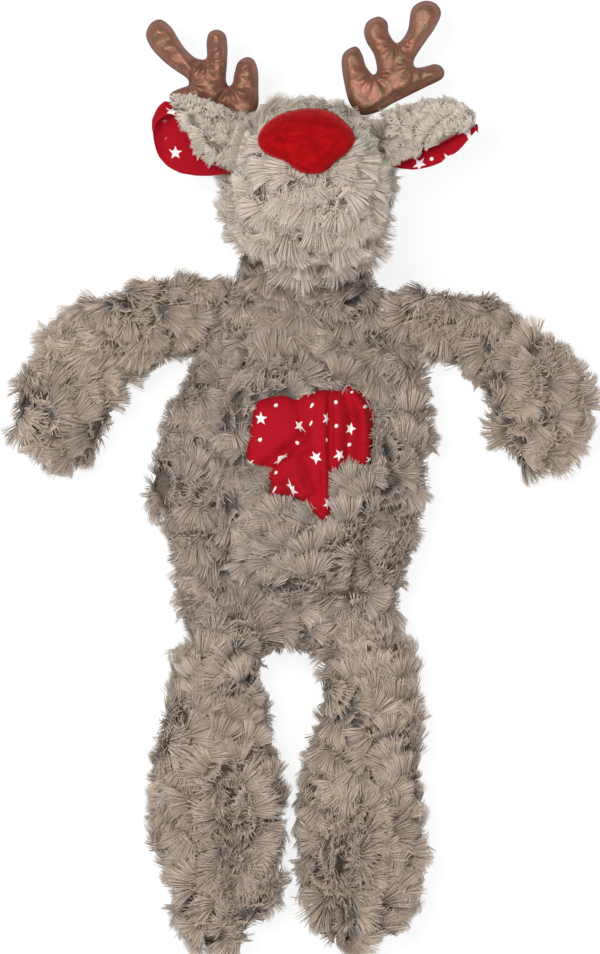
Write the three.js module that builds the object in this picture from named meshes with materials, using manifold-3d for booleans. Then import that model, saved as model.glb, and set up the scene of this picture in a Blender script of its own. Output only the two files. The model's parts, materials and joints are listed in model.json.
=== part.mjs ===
// Plush reindeer toy, lying on its back: +Y runs up to its head and +Z out of its front.
// The origin is on the flat of the torso's back. Every length is in millimetres.
import * as THREE from "three";
import { mergeVertices } from "three/addons/utils/BufferGeometryUtils.js";
import Module from "manifold-3d";

const wasm = await Module();
wasm.setup();
const degrees = THREE.MathUtils.degToRad;

// Clearances, the flat that a form's weight presses on it, and how far a cut runs past what it cuts
const seamGap = 0.3;
const patchGap = 0.9;
const restFlat = 0.5;
const overrun = 60;

// Seams that fold: the filling thins out to a round welt, and its flanks swell away from it
const weltRadius = 3;
const weltMargin = 2.5;
const foldHeight = 20;
const creaseFillet = 22;
const frontFlank = degrees(55);
const backFlank = degrees(64);

// Covers of long-pile cloth over loose filling, each with the gap that it is filled through
const coverThickness = 8;
const seamInset = 26;
const fillingRound = 20;
const closingLength = 34;
const closingWidth = 2.4;

// Torso, from the hip seams up to the neck seam
const hipY = -100;
const neckY = 108;
const hipX = -1.5;
const neckX = 6;
const torsoWidth = 156;
const torsoDepth = 48;
const torsoSquareness = 2.6;

// Padded belly panel, and the cloth patch on it
const bellyTopDrop = 30;
const bellyTailRise = 3;
const bellyTopY = neckY - bellyTopDrop;
const bellyBottomY = hipY + bellyTailRise;
const bellyX = 2.2;
const bellyWidth = 107;
const bellyRootZ = 34;
const bellyFrontZ = 63;
const bellyTopRound = 42;
const bellyTipRound = 18;
const bellySquareness = 2.6;
const patchX = 10;
const patchY = 14.6;
const patchWidth = 72;
const patchHeight = 77;
const patchThickness = 2.2;
const patchSink = 2;

// Head, from the neck seam up, with its muzzle and nose
const neckWidth = 74;
const headX = 9;
const headHeight = 105;
const headTopY = neckY + headHeight;
const headWidth = 103;
const headDepth = 84;
const headCrown = 24;
const headSquareness = 2.3;
const muzzleX = 9.5;
const muzzleDrop = 56;
const muzzleY = headTopY - muzzleDrop;
const muzzleWidth = 87;
const muzzleHeight = 88;
const muzzleRootZ = 43;
const muzzleFrontZ = 121;
const muzzleCrown = 26;
const muzzleSquareness = 2.8;
const noseX = 7.6;
const noseDrop = 31;
const noseY = headTopY - noseDrop;
const noseWidth = 56;
const noseHeight = 43;
const noseRise = 19;
const noseSeatZ = 107;
const noseTilt = degrees(-24);

// Arms, from each shoulder seam out and down to the hand
const shoulderWidth = 41;
const shoulderInset = 17;
const shoulderDrop = 18;
const shoulderY = neckY - shoulderDrop;
const shoulderX = (side) => neckX + side * (torsoWidth / 2 - shoulderInset);
const armDepth = 40;
const armSquareness = 2.2;
const handRound = 26;
const armDrop = 89;
const leftArm = { name: "left", side: -1, rootX: shoulderX(-1), rootY: shoulderY, reach: 76, width: 59 };
const rightArm = { name: "right", side: 1, rootX: shoulderX(1), rootY: shoulderY, reach: 72, width: 62 };

// Legs, from each hip seam down to the cloven foot
const hipWidth = 47;
const hipInset = 36;
const legSplay = -2.5;
const legDepth = 50;
const legSquareness = 2.3;
const footRound = 30;
const cleftWidth = 9;
const cleftDepth = 12;
const cleftLength = 66;
const legX = (side) => hipX + side * (torsoWidth / 2 - hipInset);
const footX = (side) => legX(side) + side * legSplay;
const legLength = 162;
const leftLeg = { name: "left", rootX: legX(-1), footX: footX(-1), width: 74, cleftShare: 0.04 };
const rightLeg = { name: "right", rootX: legX(1), footX: footX(1), width: 75, cleftShare: -0.13 };

// Antlers: filled tines of foil cloth, sewn to the head on a welt that rocks
const antlerZ = 40;
const antlerDepth = 12;
const antlerWeltRadius = 7;
const antlerWeltLength = 16;
const antlerRock = degrees(30);
const antlerDrop = 7.5;
const antlerY = headTopY - antlerDrop;
const leftAntler = {
  name: "left", side: -1, rootX: -28, rootY: antlerY, spread: 54, height: 50, tineWidth: 12.6,
};
const rightAntler = {
  name: "right", side: 1, rootX: 40, rootY: antlerY, spread: 45, height: 60, tineWidth: 13.6,
};

// Ears: a leaf of plush with a printed lining, folded over lengthwise
const earZ = 63;
const earPile = 6;
const liningThickness = 1.6;
const earOpening = 2;
const earWeltRadius = 6;
const earWeltLength = 24;
const earRock = degrees(35);
const earDrop = 24;
const earY = headTopY - earDrop;
const leftEar = { name: "left", side: -1, rootX: -41, rootY: earY, reach: 38, height: 40 };
const rightEar = { name: "right", side: 1, rootX: 59.5, rootY: earY, reach: 42.5, height: 40 };

// How finely the forms are faceted
const formRings = 14;
const formSteps = 22;
const fillingRings = 6;
const fillingSteps = 12;
const tineRings = 8;
const tineSteps = 10;
const filletSteps = 5;

// Colour, roughness and metalness
const finishes = {
  plush: [0xa79d8f, 0.95, 0],
  filling: [0xf2f1ec, 1, 0],
  velvet: [0xb5121b, 0.85, 0],
  foil: [0x8a5a48, 0.35, 0.6],
  print: [0xa8142a, 0.8, 0],
};

// Rows of shares: place along the form, then its width and its depth there
const torsoShares = [
  [0, 0.8, 0.88], [0.08, 0.81, 0.92], [0.18, 0.82, 0.95], [0.27, 0.88, 0.98], [0.375, 0.97, 1],
  [0.48, 1, 1], [0.59, 0.99, 1], [0.69, 0.95, 0.98], [0.77, 0.875, 0.95], [0.845, 0.8, 0.92],
  [0.92, 0.79, 0.88], [1, 0.79, 0.86],
];
const bellyShares = [
  [0, 0.34, 0.3], [0.06, 0.42, 0.45], [0.17, 0.57, 0.66], [0.3, 0.8, 0.86], [0.43, 0.96, 0.97],
  [0.58, 1, 1], [0.75, 1, 0.99], [0.9, 0.96, 0.97], [1, 0.9, 0.94],
];
const headShares = [
  [0, 0.72, 0.5], [0.08, 0.72, 0.54], [0.15, 0.76, 0.6], [0.25, 0.86, 0.74], [0.35, 0.91, 0.86],
  [0.47, 0.945, 0.95], [0.6, 0.99, 1], [0.75, 1, 1], [0.88, 0.99, 0.96], [1, 0.95, 0.9],
];
const armShares = {
  left: [
    [0, 0.69, 0.95], [0.12, 0.74, 0.98], [0.28, 0.88, 1], [0.45, 0.97, 1], [0.62, 1, 1],
    [0.78, 0.99, 1], [0.9, 0.93, 0.98], [1, 0.84, 0.9],
  ],
  right: [
    [0, 0.66, 0.95], [0.12, 0.67, 0.98], [0.28, 0.72, 1], [0.45, 0.84, 1], [0.6, 0.95, 1],
    [0.76, 1, 1], [0.9, 0.96, 0.98], [1, 0.86, 0.9],
  ],
};
const legShares = {
  left: [
    [0, 0.635, 0.88], [0.1, 0.72, 0.9], [0.22, 0.82, 0.93], [0.35, 0.92, 0.97], [0.5, 1, 1],
    [0.65, 1, 1], [0.78, 0.95, 1], [0.9, 0.9, 0.97], [1, 0.84, 0.9],
  ],
  right: [
    [0, 0.627, 0.88], [0.1, 0.68, 0.9], [0.22, 0.76, 0.93], [0.35, 0.86, 0.97], [0.5, 0.94, 1],
    [0.65, 1, 1], [0.78, 0.98, 1], [0.9, 0.92, 0.97], [1, 0.84, 0.9],
  ],
};
// Rows of shares: rise, then width, height and how far up the muzzle has moved there
const muzzleShares = [
  [0, 0.88, 0.82, 0.08], [0.3, 0.97, 0.95, 0.02], [0.55, 1, 1, 0], [1, 0.98, 0.98, 0],
];
// Rows of shares: how far out along its reach, and how far down its drop, each arm's middle runs
const armLineShares = {
  left: [[0, 0], [0.24, 0], [0.53, 0.09], [0.75, 0.2], [0.9, 0.37], [0.97, 0.56], [1, 0.78], [0.97, 1]],
  right: [[0, 0], [0.24, 0.005], [0.47, 0.09], [0.73, 0.2], [0.9, 0.35], [0.98, 0.54], [1, 0.76], [0.99, 1]],
};
// Outline shares of the nose and of the patch, whose folds draw in its lower corner
const noseShares = [
  [0, 1], [0.4, 0.95], [0.72, 0.78], [0.93, 0.45], [1, 0.08], [0.94, -0.25], [0.74, -0.56], [0.45, -0.85],
  [0.15, -1], [-0.15, -0.99], [-0.45, -0.82], [-0.74, -0.53], [-0.94, -0.23], [-1, 0.08], [-0.93, 0.45],
  [-0.72, 0.78], [-0.4, 0.95],
];
const patchShares = [
  [-0.42, 0.38], [-0.27, 0.42], [-0.12, 0.4], [0.09, 0.46], [0.21, 0.46], [0.32, 0.5], [0.43, 0.44],
  [0.5, 0.31], [0.5, 0.14], [0.47, -0.04], [0.4, -0.08], [0.28, -0.08], [0.2, -0.12], [0.165, -0.3],
  [0.155, -0.41], [0.09, -0.48], [-0.02, -0.38], [-0.13, -0.32], [-0.23, -0.3], [-0.32, -0.33],
  [-0.31, -0.22], [-0.42, -0.1], [-0.5, -0.04], [-0.49, 0.1], [-0.46, 0.25],
];
// Each tine: its line out and up from the root in shares of spread and height, and its width shares
const tineShares = {
  left: [
    {
      line: [
        [0, -0.02], [0.12, 0.12], [0.26, 0.27], [0.41, 0.4], [0.58, 0.51], [0.73, 0.66], [0.84, 0.84], [0.9, 1],
      ],
      width: [1.1, 1.35, 1.4, 1.15, 1.02, 1, 1.08, 1.05],
    },
    {
      line: [[0.2, 0.2], [0.28, 0.39], [0.28, 0.59], [0.27, 0.75], [0.27, 0.9]],
      width: [1, 1.02, 0.93, 0.9, 0.9],
    },
    { line: [[0, 0], [-0.02, 0.22], [-0.04, 0.41], [-0.05, 0.6]], width: [1.05, 1.1, 1.02, 0.95] },
    { line: [[0.22, 0.22], [0.4, 0.19], [0.59, 0.19], [0.75, 0.2]], width: [0.9, 0.82, 0.75, 0.7] },
  ],
  right: [
    {
      line: [
        [0, -0.02], [0.12, 0.12], [0.31, 0.28], [0.48, 0.46], [0.6, 0.62], [0.7, 0.76], [0.75, 0.88], [0.78, 1],
      ],
      width: [1, 1.4, 1.45, 1.15, 1.05, 1.1, 1.18, 1.12],
    },
    {
      line: [[0.3, 0.27], [0.235, 0.47], [0.165, 0.63], [0.15, 0.74], [0.18, 0.86]],
      width: [1, 1, 0.98, 0.98, 0.94],
    },
    {
      line: [[0, 0.03], [-0.06, 0.2], [-0.12, 0.36], [-0.15, 0.47], [-0.12, 0.59]],
      width: [1, 1.1, 0.98, 0.9, 0.88],
    },
    {
      line: [[0.2, 0.16], [0.45, 0.24], [0.69, 0.31], [0.85, 0.35], [1, 0.35]],
      width: [1.2, 1.05, 0.86, 0.75, 0.66],
    },
  ],
};
// Rows of shares: how far out, then the fold's height, the back leaf, the front leaf and the pile there
const earShares = {
  left: [
    [0, 0.33, 0.62, 0.5, 0.4], [0.22, 0.44, 0.8, 0.62, 0.75], [0.42, 0.5, 0.84, 0.5, 1],
    [0.62, 0.51, 0.74, 0.28, 1], [0.8, 0.48, 0.54, 0.13, 0.95], [0.93, 0.42, 0.3, 0.06, 0.7],
    [1, 0.36, 0.08, 0.03, 0.35],
  ],
  right: [
    [0, 0.33, 0.66, 0.5, 0.4], [0.22, 0.46, 0.86, 0.66, 0.75], [0.42, 0.5, 0.86, 0.62, 1],
    [0.62, 0.48, 0.72, 0.45, 1], [0.8, 0.41, 0.5, 0.28, 0.95], [0.93, 0.32, 0.27, 0.14, 0.7],
    [1, 0.25, 0.1, 0.05, 0.35],
  ],
};

function solidOf(geometry) {
  const bare = new THREE.BufferGeometry();
  bare.setAttribute("position", geometry.getAttribute("position"));
  if (geometry.index) bare.setIndex(geometry.index);
  const merged = mergeVertices(bare);
  const vertProperties = new Float32Array(merged.attributes.position.array);
  const triVerts = new Uint32Array(merged.index.array);
  return new wasm.Manifold(new wasm.Mesh({ numProp: 3, vertProperties, triVerts }));
}

function addPiece(group, name, solid, finish) {
  const { vertProperties, triVerts } = solid.getMesh();
  const geometry = new THREE.BufferGeometry();
  geometry.setAttribute("position", new THREE.BufferAttribute(vertProperties, 3));
  geometry.setIndex(new THREE.BufferAttribute(triVerts, 1));
  geometry.computeVertexNormals();
  const [color, roughness, metalness] = finishes[finish];
  const mesh = new THREE.Mesh(geometry, new THREE.MeshStandardMaterial({ color, roughness, metalness }));
  mesh.name = name;
  group.add(mesh);
}

// A closed skin over rings of points, drawn together to a point at each end.
function skinOf(rings, firstPoint, lastPoint) {
  const steps = rings[0].length;
  const points = [firstPoint, ...rings.flat(), lastPoint];
  const faces = [];
  const at = (ring, step) => 1 + ring * steps + (step % steps);
  for (let step = 0; step < steps; step++) {
    faces.push(0, at(0, step), at(0, step + 1));
    faces.push(points.length - 1, at(rings.length - 1, step + 1), at(rings.length - 1, step));
    for (let ring = 0; ring + 1 < rings.length; ring++) {
      faces.push(at(ring, step), at(ring + 1, step + 1), at(ring, step + 1));
      faces.push(at(ring, step), at(ring + 1, step), at(ring + 1, step + 1));
    }
  }
  const geometry = new THREE.BufferGeometry().setFromPoints(points);
  geometry.setIndex(faces);
  return solidOf(geometry);
}

// A closed sheet between two grids of points of the same size.
function sheetOf(outer, inner) {
  const rows = outer.length;
  const columns = outer[0].length;
  const points = [...outer.flat(), ...inner.flat()];
  const out = (row, column) => row * columns + column;
  const back = (row, column) => rows * columns + out(row, column);
  const faces = [];
  const quad = (a, b, c, d) => faces.push(a, b, c, a, c, d);
  for (let row = 0; row + 1 < rows; row++) {
    for (let column = 0; column + 1 < columns; column++) {
      quad(out(row, column), out(row + 1, column), out(row + 1, column + 1), out(row, column + 1));
      quad(back(row, column), back(row, column + 1), back(row + 1, column + 1), back(row + 1, column));
    }
    const last = columns - 1;
    quad(out(row, 0), back(row, 0), back(row + 1, 0), out(row + 1, 0));
    quad(out(row, last), out(row + 1, last), back(row + 1, last), back(row, last));
  }
  for (let column = 0; column + 1 < columns; column++) {
    const last = rows - 1;
    quad(out(0, column), out(0, column + 1), back(0, column + 1), back(0, column));
    quad(out(last, column), back(last, column), back(last, column + 1), out(last, column + 1));
  }
  const geometry = new THREE.BufferGeometry().setFromPoints(points);
  geometry.setIndex(faces);
  return solidOf(geometry);
}

function boxBetween(low, high) {
  const size = new THREE.Vector3().subVectors(high, low);
  const geometry = new THREE.BoxGeometry(...size);
  geometry.translate(...low.clone().addScaledVector(size, 1 / 2));
  return solidOf(geometry);
}

const spineThrough = (points) =>
  new THREE.CatmullRomCurve3(points.map(([x, y, z = 0]) => new THREE.Vector3(x, y, z)));

// A spine that leaves one seam and reaches the other square to both.
function spineBetween(fromX, fromY, toX, toY) {
  const third = (toY - fromY) / 3;
  return spineThrough([[fromX, fromY], [fromX, fromY + third], [toX, toY - third], [toX, toY]]);
}

function laneThrough(rows) {
  const places = rows.map((row) => row[0]);
  return new THREE.LinearInterpolant(places, rows.flatMap((row) => row.slice(1)), rows[0].length - 1);
}

// A point on a section between an ellipse and a rounded box.
function sectionPoint(angle, halfWidth, halfDepth, squareness) {
  const bulge = (value) => Math.sign(value) * Math.abs(value) ** (2 / squareness);
  return [bulge(Math.cos(angle)) * halfWidth, bulge(Math.sin(angle)) * halfDepth];
}

// How far a rounded end has opened out, from 0 at its tip to 1.
function roundEnd(distance, radius) {
  if (radius === 0) return 1;
  const missing = 1 - Math.min(1, Math.max(0, distance / radius));
  return Math.sqrt(1 - missing * missing);
}

// A filled form that swells and tapers along its spine. A form that lies has the table under it.
// The spacing of its rings closes up towards each rounded end. grow thickens it, or thins it.
function stuffedForm(form, grow = 0, rings = formRings, steps = formSteps) {
  const { spine, squareness = 2, startInset = 0, startRound = 0, endRound = 0 } = form;
  const lane = laneThrough(form.shares);
  const length = spine.getLength();
  const begin = startInset - (startRound ? grow : 0);
  const end = length + (endRound ? grow : 0);
  const placeAt = (distance) => {
    const share = THREE.MathUtils.clamp(distance / length, 0, 1);
    const heading = spine.getTangentAt(share);
    const centre = spine.getPointAt(share).addScaledVector(heading, distance - share * length);
    const [widthShare, depthShare] = lane.evaluate(share);
    const halfWidth = (form.width / 2) * widthShare + grow;
    const halfDepth = (form.depth / 2) * depthShare;
    if (form.lies) centre.z = halfDepth - restFlat;
    return { centre, heading, halfWidth, halfDepth: halfDepth + grow };
  };
  const loops = [];
  for (let ring = startRound ? 1 : 0; ring <= rings - (endRound ? 1 : 0); ring++) {
    const even = ring / rings;
    const closing = startRound ? (1 - Math.cos(even * Math.PI)) / 2 : Math.sin((even * Math.PI) / 2);
    const distance = begin + (end - begin) * (startRound || endRound ? closing : even);
    const { centre, heading, halfWidth, halfDepth } = placeAt(distance);
    const open = roundEnd(distance - begin, startRound) * roundEnd(end - distance, endRound);
    const across = new THREE.Vector3(heading.y, -heading.x, 0).normalize();
    loops.push(Array.from({ length: steps }, (_, step) => {
      const angle = (step / steps) * 2 * Math.PI;
      const [wide, deep] = sectionPoint(angle, halfWidth * open, halfDepth * open, squareness);
      return centre.clone().addScaledVector(across, wide).setZ(centre.z + deep);
    }));
  }
  return skinOf(loops, placeAt(begin).centre, placeAt(end).centre);
}

// A seam is a line: its centre, the way along it, and the way out of the piece that carries it.
const seamAt = (centre, along, outward) => ({
  centre: new THREE.Vector3(...centre),
  along: new THREE.Vector3(...along),
  outward: new THREE.Vector3(...outward),
});
const neckSeam = seamAt([neckX, neckY, foldHeight], [1, 0, 0], [0, 1, 0]);
const hipSeam = (leg) => seamAt([leg.rootX, hipY, foldHeight], [-1, 0, 0], [0, -1, 0]);
const shoulderSeam = (arm) =>
  seamAt([arm.rootX, arm.rootY, foldHeight], [0, -arm.side, 0], [arm.side, 0, 0]);
const antlerSeam = (antler) => seamAt([antler.rootX, antler.rootY, antlerZ], [1, 0, 0], [0, 1, 0]);
const earSeam = (ear) => seamAt([ear.rootX, ear.rootY, earZ], [0, -ear.side, 0], [ear.side, 0, 0]);

// Extrudes along a seam what is drawn across it: right is outward and up is to the front.
function alongSeam(seam, points, length) {
  const profile = new THREE.Shape(points.map(([out, up]) => new THREE.Vector2(out, up)));
  const geometry = new THREE.ExtrudeGeometry(profile, { depth: length, bevelEnabled: false });
  geometry.translate(0, 0, -length / 2);
  const front = new THREE.Vector3().crossVectors(seam.along, seam.outward);
  const across = new THREE.Vector3().crossVectors(seam.outward, front);
  const frame = new THREE.Matrix4().makeBasis(seam.outward, front, across).setPosition(seam.centre);
  return solidOf(geometry.applyMatrix4(frame));
}

function weltAlong(seam, radius, length, steps = 16) {
  const circle = Array.from({ length: steps }, (_, step) => {
    const angle = (step / steps) * 2 * Math.PI;
    return [radius * Math.cos(angle), radius * Math.sin(angle)];
  });
  return alongSeam(seam, circle, length);
}

// What a folding seam takes from the front and the back of both pieces, down to the welt's line.
function creaseAlong(seam, length) {
  const side = (flank, rise, way) => {
    const setback = rise / Math.tan(flank) + creaseFillet * Math.tan(flank / 2);
    const edge = [[0, 0]];
    for (let step = 0; step <= filletSteps; step++) {
      const turn = flank * (1 - step / filletSteps);
      edge.push([setback - creaseFillet * Math.sin(turn), rise - creaseFillet * (1 - Math.cos(turn))]);
    }
    edge.push([setback, rise + overrun]);
    const mirrored = edge.slice(1).reverse().map(([out, up]) => [-out, up]);
    return alongSeam(seam, [...edge, ...mirrored].map(([out, up]) => [out, up * way]), length);
  };
  return side(frontFlank, torsoDepth - foldHeight, 1).add(side(backFlank, foldHeight, -1));
}

// The notch that a welt rocks in, with room for what stands on it at both limits.
function rockingNotch(seam, radius, rock, length) {
  const reach = radius + seamGap;
  const lean = rock + degrees(2);
  const points = [];
  for (let step = 0; step <= 2 * filletSteps; step++) {
    const angle = Math.PI / 2 + lean + ((Math.PI - 2 * lean) * step) / (2 * filletSteps);
    points.push([reach * Math.cos(angle), reach * Math.sin(angle)]);
  }
  const [low, side] = points[points.length - 1];
  const wide = -side + (overrun - low) * Math.tan(lean);
  return alongSeam(seam, [...points, [overrun, -wide], [overrun, wide]], length);
}

// The half of space past a seam, as far as the overrun, where the next piece takes over.
function pastSeam(seam, length) {
  const half = [[0, -overrun], [2 * overrun, -overrun], [2 * overrun, 2 * overrun], [0, 2 * overrun]];
  return alongSeam(seam, half, length);
}

const underTable = boxBetween(
  new THREE.Vector3(-2 * torsoWidth, 2 * hipY - torsoWidth, -overrun),
  new THREE.Vector3(2 * torsoWidth, 2 * headTopY, 0),
);

// A cover is hollow for its filling, and has the gap in its back that is sewn up last.
function addStuffed(group, name, outer, form, closingX, closingY) {
  const startInset = form.startInset ?? seamInset;
  const inside = { ...form, startInset, startRound: fillingRound, endRound: fillingRound };
  const cavity = stuffedForm(inside, -coverThickness, fillingRings, fillingSteps);
  const filling = stuffedForm(inside, -coverThickness - seamGap, fillingRings, fillingSteps);
  const closing = boxBetween(
    new THREE.Vector3(closingX - closingWidth / 2, closingY - closingLength / 2, -coverThickness),
    new THREE.Vector3(closingX + closingWidth / 2, closingY + closingLength / 2, 2 * coverThickness),
  );
  addPiece(group, name, outer.subtract(cavity).subtract(closing), "plush");
  addPiece(group, `${name}_filling`, filling, "filling");
}

const torsoForm = {
  spine: spineBetween(hipX, hipY, neckX, neckY),
  shares: torsoShares, width: torsoWidth, depth: torsoDepth, squareness: torsoSquareness, lies: true,
};
const hipEdge = seamAt([hipX, hipY, foldHeight], [-1, 0, 0], [0, -1, 0]);
const hipCrease = creaseAlong(hipEdge, 2 * torsoWidth);
const shoulderCrease = (arm) => creaseAlong(shoulderSeam(arm), shoulderWidth + 2 * weltMargin);

function addTorso(group) {
  let outer = stuffedForm(torsoForm).subtract(underTable).subtract(hipCrease);
  outer = outer.subtract(creaseAlong(neckSeam, 2 * torsoWidth));
  for (const edge of [neckSeam, hipEdge]) {
    outer = outer.subtract(weltAlong(edge, weltRadius + seamGap, 2 * torsoWidth));
  }
  for (const arm of [leftArm, rightArm]) {
    const seamLength = shoulderWidth + 2 * weltMargin;
    outer = outer.subtract(shoulderCrease(arm)).subtract(pastSeam(shoulderSeam(arm), seamLength));
    outer = outer.subtract(weltAlong(shoulderSeam(arm), weltRadius + seamGap, seamLength));
  }
  const slim = { ...torsoForm, width: torsoWidth - seamInset };
  slim.spine = spineBetween(hipX, hipY, neckX, neckY - seamInset);
  addStuffed(group, "torso", outer, slim, hipX, hipY / 2);
}

// The belly panel is a padded oval that narrows down between the legs.
const bellyForm = {
  spine: spineThrough([
    [hipX, bellyBottomY, bellyRootZ], [bellyX, 0, bellyRootZ], [bellyX, bellyTopY, bellyRootZ],
  ]),
  shares: bellyShares, width: bellyWidth, depth: 2 * (bellyFrontZ - bellyRootZ),
  squareness: bellySquareness, startRound: bellyTipRound, endRound: bellyTopRound,
};

// All that lies over the patch's outline, grown by a clearance.
function overPatch(grow) {
  const outline = patchShares.map(([x, y]) => new THREE.Vector2(
    patchX + x * (patchWidth + 2 * grow), patchY + y * (patchHeight + 2 * grow),
  ));
  const curve = new THREE.SplineCurve([...outline, outline[0]]);
  const prism = new THREE.ExtrudeGeometry(new THREE.Shape(curve.getPoints(2 * outline.length)), {
    depth: bellyFrontZ, bevelEnabled: false,
  });
  prism.translate(0, 0, bellyRootZ);
  return solidOf(prism);
}

// The pile is cut away under the patch, which is sewn to the backing and lies lower than the pile.
function addBelly(group) {
  const panel = stuffedForm(bellyForm).subtract(stuffedForm(torsoForm, seamGap)).subtract(hipCrease);
  const recess = overPatch(patchGap).subtract(stuffedForm(bellyForm, -patchSink - patchThickness - seamGap));
  const patch = overPatch(0).intersect(stuffedForm(bellyForm, -patchSink));
  const underPatch = stuffedForm(bellyForm, -patchSink - patchThickness);
  addPiece(group, "belly_panel", panel.subtract(recess), "plush");
  addPiece(group, "belly_patch", patch.subtract(underPatch), "print");
}

const headForm = {
  spine: spineBetween(neckX, neckY, headX, headTopY),
  shares: headShares, width: headWidth, depth: headDepth, squareness: headSquareness,
  endRound: headCrown, lies: true,
};
function addHead(group) {
  let outer = stuffedForm(headForm).subtract(underTable).subtract(creaseAlong(neckSeam, 2 * neckWidth));
  outer = outer.add(weltAlong(neckSeam, weltRadius, neckWidth));
  for (const antler of [leftAntler, rightAntler]) {
    const length = antlerWeltLength + 4 * weltMargin;
    outer = outer.subtract(rockingNotch(antlerSeam(antler), antlerWeltRadius, antlerRock, length));
  }
  for (const ear of [leftEar, rightEar]) {
    const length = earWeltLength + 4 * weltMargin;
    outer = outer.subtract(rockingNotch(earSeam(ear), earWeltRadius, earRock, length));
  }
  const slim = { ...headForm, width: headWidth - 2 * coverThickness, startInset: seamInset };
  slim.spine = spineBetween(neckX, neckY, headX, headTopY - coverThickness);
  addStuffed(group, "head", outer, slim, headX, (neckY + headTopY) / 2);
}

// The muzzle is a blunt rounded box, drawn up at its root to clear the neck.
function muzzleForm(grow = 0, rings = 9) {
  const lane = laneThrough(muzzleShares);
  const front = muzzleFrontZ + grow;
  const loops = [];
  for (let ring = 0; ring < rings; ring++) {
    const z = muzzleRootZ + (front - muzzleRootZ) * Math.sin(((ring / rings) * Math.PI) / 2);
    const [widthShare, heightShare, liftShare] = lane.evaluate((z - muzzleRootZ) / (front - muzzleRootZ));
    const open = roundEnd(front - z, muzzleCrown) ** 0.8;
    const y = muzzleY + liftShare * muzzleHeight;
    loops.push(Array.from({ length: formSteps }, (_, step) => {
      const angle = (step / formSteps) * 2 * Math.PI;
      const halfWidth = ((muzzleWidth / 2) * widthShare + grow) * open;
      const halfHeight = ((muzzleHeight / 2) * heightShare + grow) * open;
      const [left, up] = sectionPoint(angle, halfWidth, halfHeight, muzzleSquareness);
      return new THREE.Vector3(muzzleX - left, y + up, z);
    }));
  }
  const root = new THREE.Vector3(muzzleX, muzzleY, muzzleRootZ);
  return skinOf(loops, root, new THREE.Vector3(muzzleX, muzzleY, front));
}

// The nose is a velvet dome, fullest above its middle, over the muzzle's upper edge.
function addMuzzleAndNose(group, rings = 6) {
  const loops = [];
  for (let ring = 0; ring < rings; ring++) {
    const bend = ((ring / rings) * Math.PI) / 2;
    const open = Math.cos(bend) ** 0.8;
    loops.push(noseShares.map(([right, up]) => new THREE.Vector3(
      (right * noseWidth * open) / 2, (up * noseHeight * open) / 2, noseRise * Math.sin(bend),
    )));
  }
  const dome = skinOf(loops, new THREE.Vector3(), new THREE.Vector3(0, 0, noseRise));
  const seat = new THREE.Matrix4().makeRotationX(noseTilt).setPosition(noseX, noseY, noseSeatZ);
  addPiece(group, "muzzle", muzzleForm().subtract(stuffedForm(headForm, seamGap)), "plush");
  addPiece(group, "nose", dome.transform(seat.elements).subtract(muzzleForm(seamGap)), "velvet");
}

function addAntler(group, antler) {
  const seam = antlerSeam(antler);
  let solid = weltAlong(seam, antlerWeltRadius, antlerWeltLength);
  for (const tine of tineShares[antler.name]) {
    const line = tine.line.map(([out, up]) => [
      antler.rootX + antler.side * out * antler.spread, antler.rootY + up * antler.height, antlerZ,
    ]);
    const last = tine.width.length - 1;
    const shares = tine.width.map((width, index) => [index / last, width, 1]);
    const tip = (antler.tineWidth * tine.width[last]) / 2;
    const spine = spineThrough(line);
    const form = { spine, shares, width: antler.tineWidth, depth: antlerDepth, endRound: tip };
    solid = solid.add(stuffedForm(form, 0, tineRings, tineSteps));
  }
  addPiece(group, `antler_${antler.name}`, solid, "foil");
}

// One layer of the folded ear: up its back leaf, round the fold, and down its front leaf.
function earLayer(ear, depthOf, startShare) {
  const lane = laneThrough(earShares[ear.name]);
  const rows = 9;
  const grid = [];
  for (let row = 0; row <= rows; row++) {
    const share = startShare + ((1 - startShare) * row) / rows;
    const [fold, back, front, pile] = [...lane.evaluate(share)];
    const depth = depthOf(pile);
    const x = ear.rootX + ear.side * ear.reach * share;
    const foldY = ear.rootY + fold * ear.height - earPile;
    const path = [];
    for (let step = 0; step < 3; step++) path.push([foldY - back * ear.height * (1 - step / 3), -depth]);
    for (let step = 0; step <= 4; step++) {
      const turn = (step / 4) * Math.PI;
      path.push([foldY + depth * Math.sin(turn), -depth * Math.cos(turn)]);
    }
    for (let step = 1; step <= 3; step++) path.push([foldY - front * ear.height * (step / 3), depth]);
    grid.push(path.map(([y, z]) => new THREE.Vector3(x, y, earZ + z)));
  }
  return ear.side < 0 ? grid : grid.map((path) => [...path].reverse());
}

function addEar(group, ear) {
  const seam = earSeam(ear);
  const weltShare = earWeltRadius / ear.reach;
  const half = (pile) => (earOpening / 2) * Math.min(1, pile);
  const inLining = earLayer(ear, half, weltShare);
  const outLining = earLayer(ear, (pile) => half(pile) + liningThickness, weltShare);
  const inPlush = (pile) => half(pile) + liningThickness + seamGap;
  const startShare = weltShare / 4;
  const outPlush = earLayer(ear, (pile) => inPlush(pile) + pile * earPile, startShare);
  const plush = sheetOf(outPlush, earLayer(ear, inPlush, startShare));
  const welt = weltAlong(seam, earWeltRadius, earWeltLength);
  const rootGroove = weltAlong(seam, earWeltRadius + seamGap, 2 * earWeltLength);
  const lining = sheetOf(outLining, inLining).subtract(rootGroove);
  addPiece(group, `ear_${ear.name}`, plush.add(welt), "plush");
  addPiece(group, `ear_lining_${ear.name}`, lining, "print");
}

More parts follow.
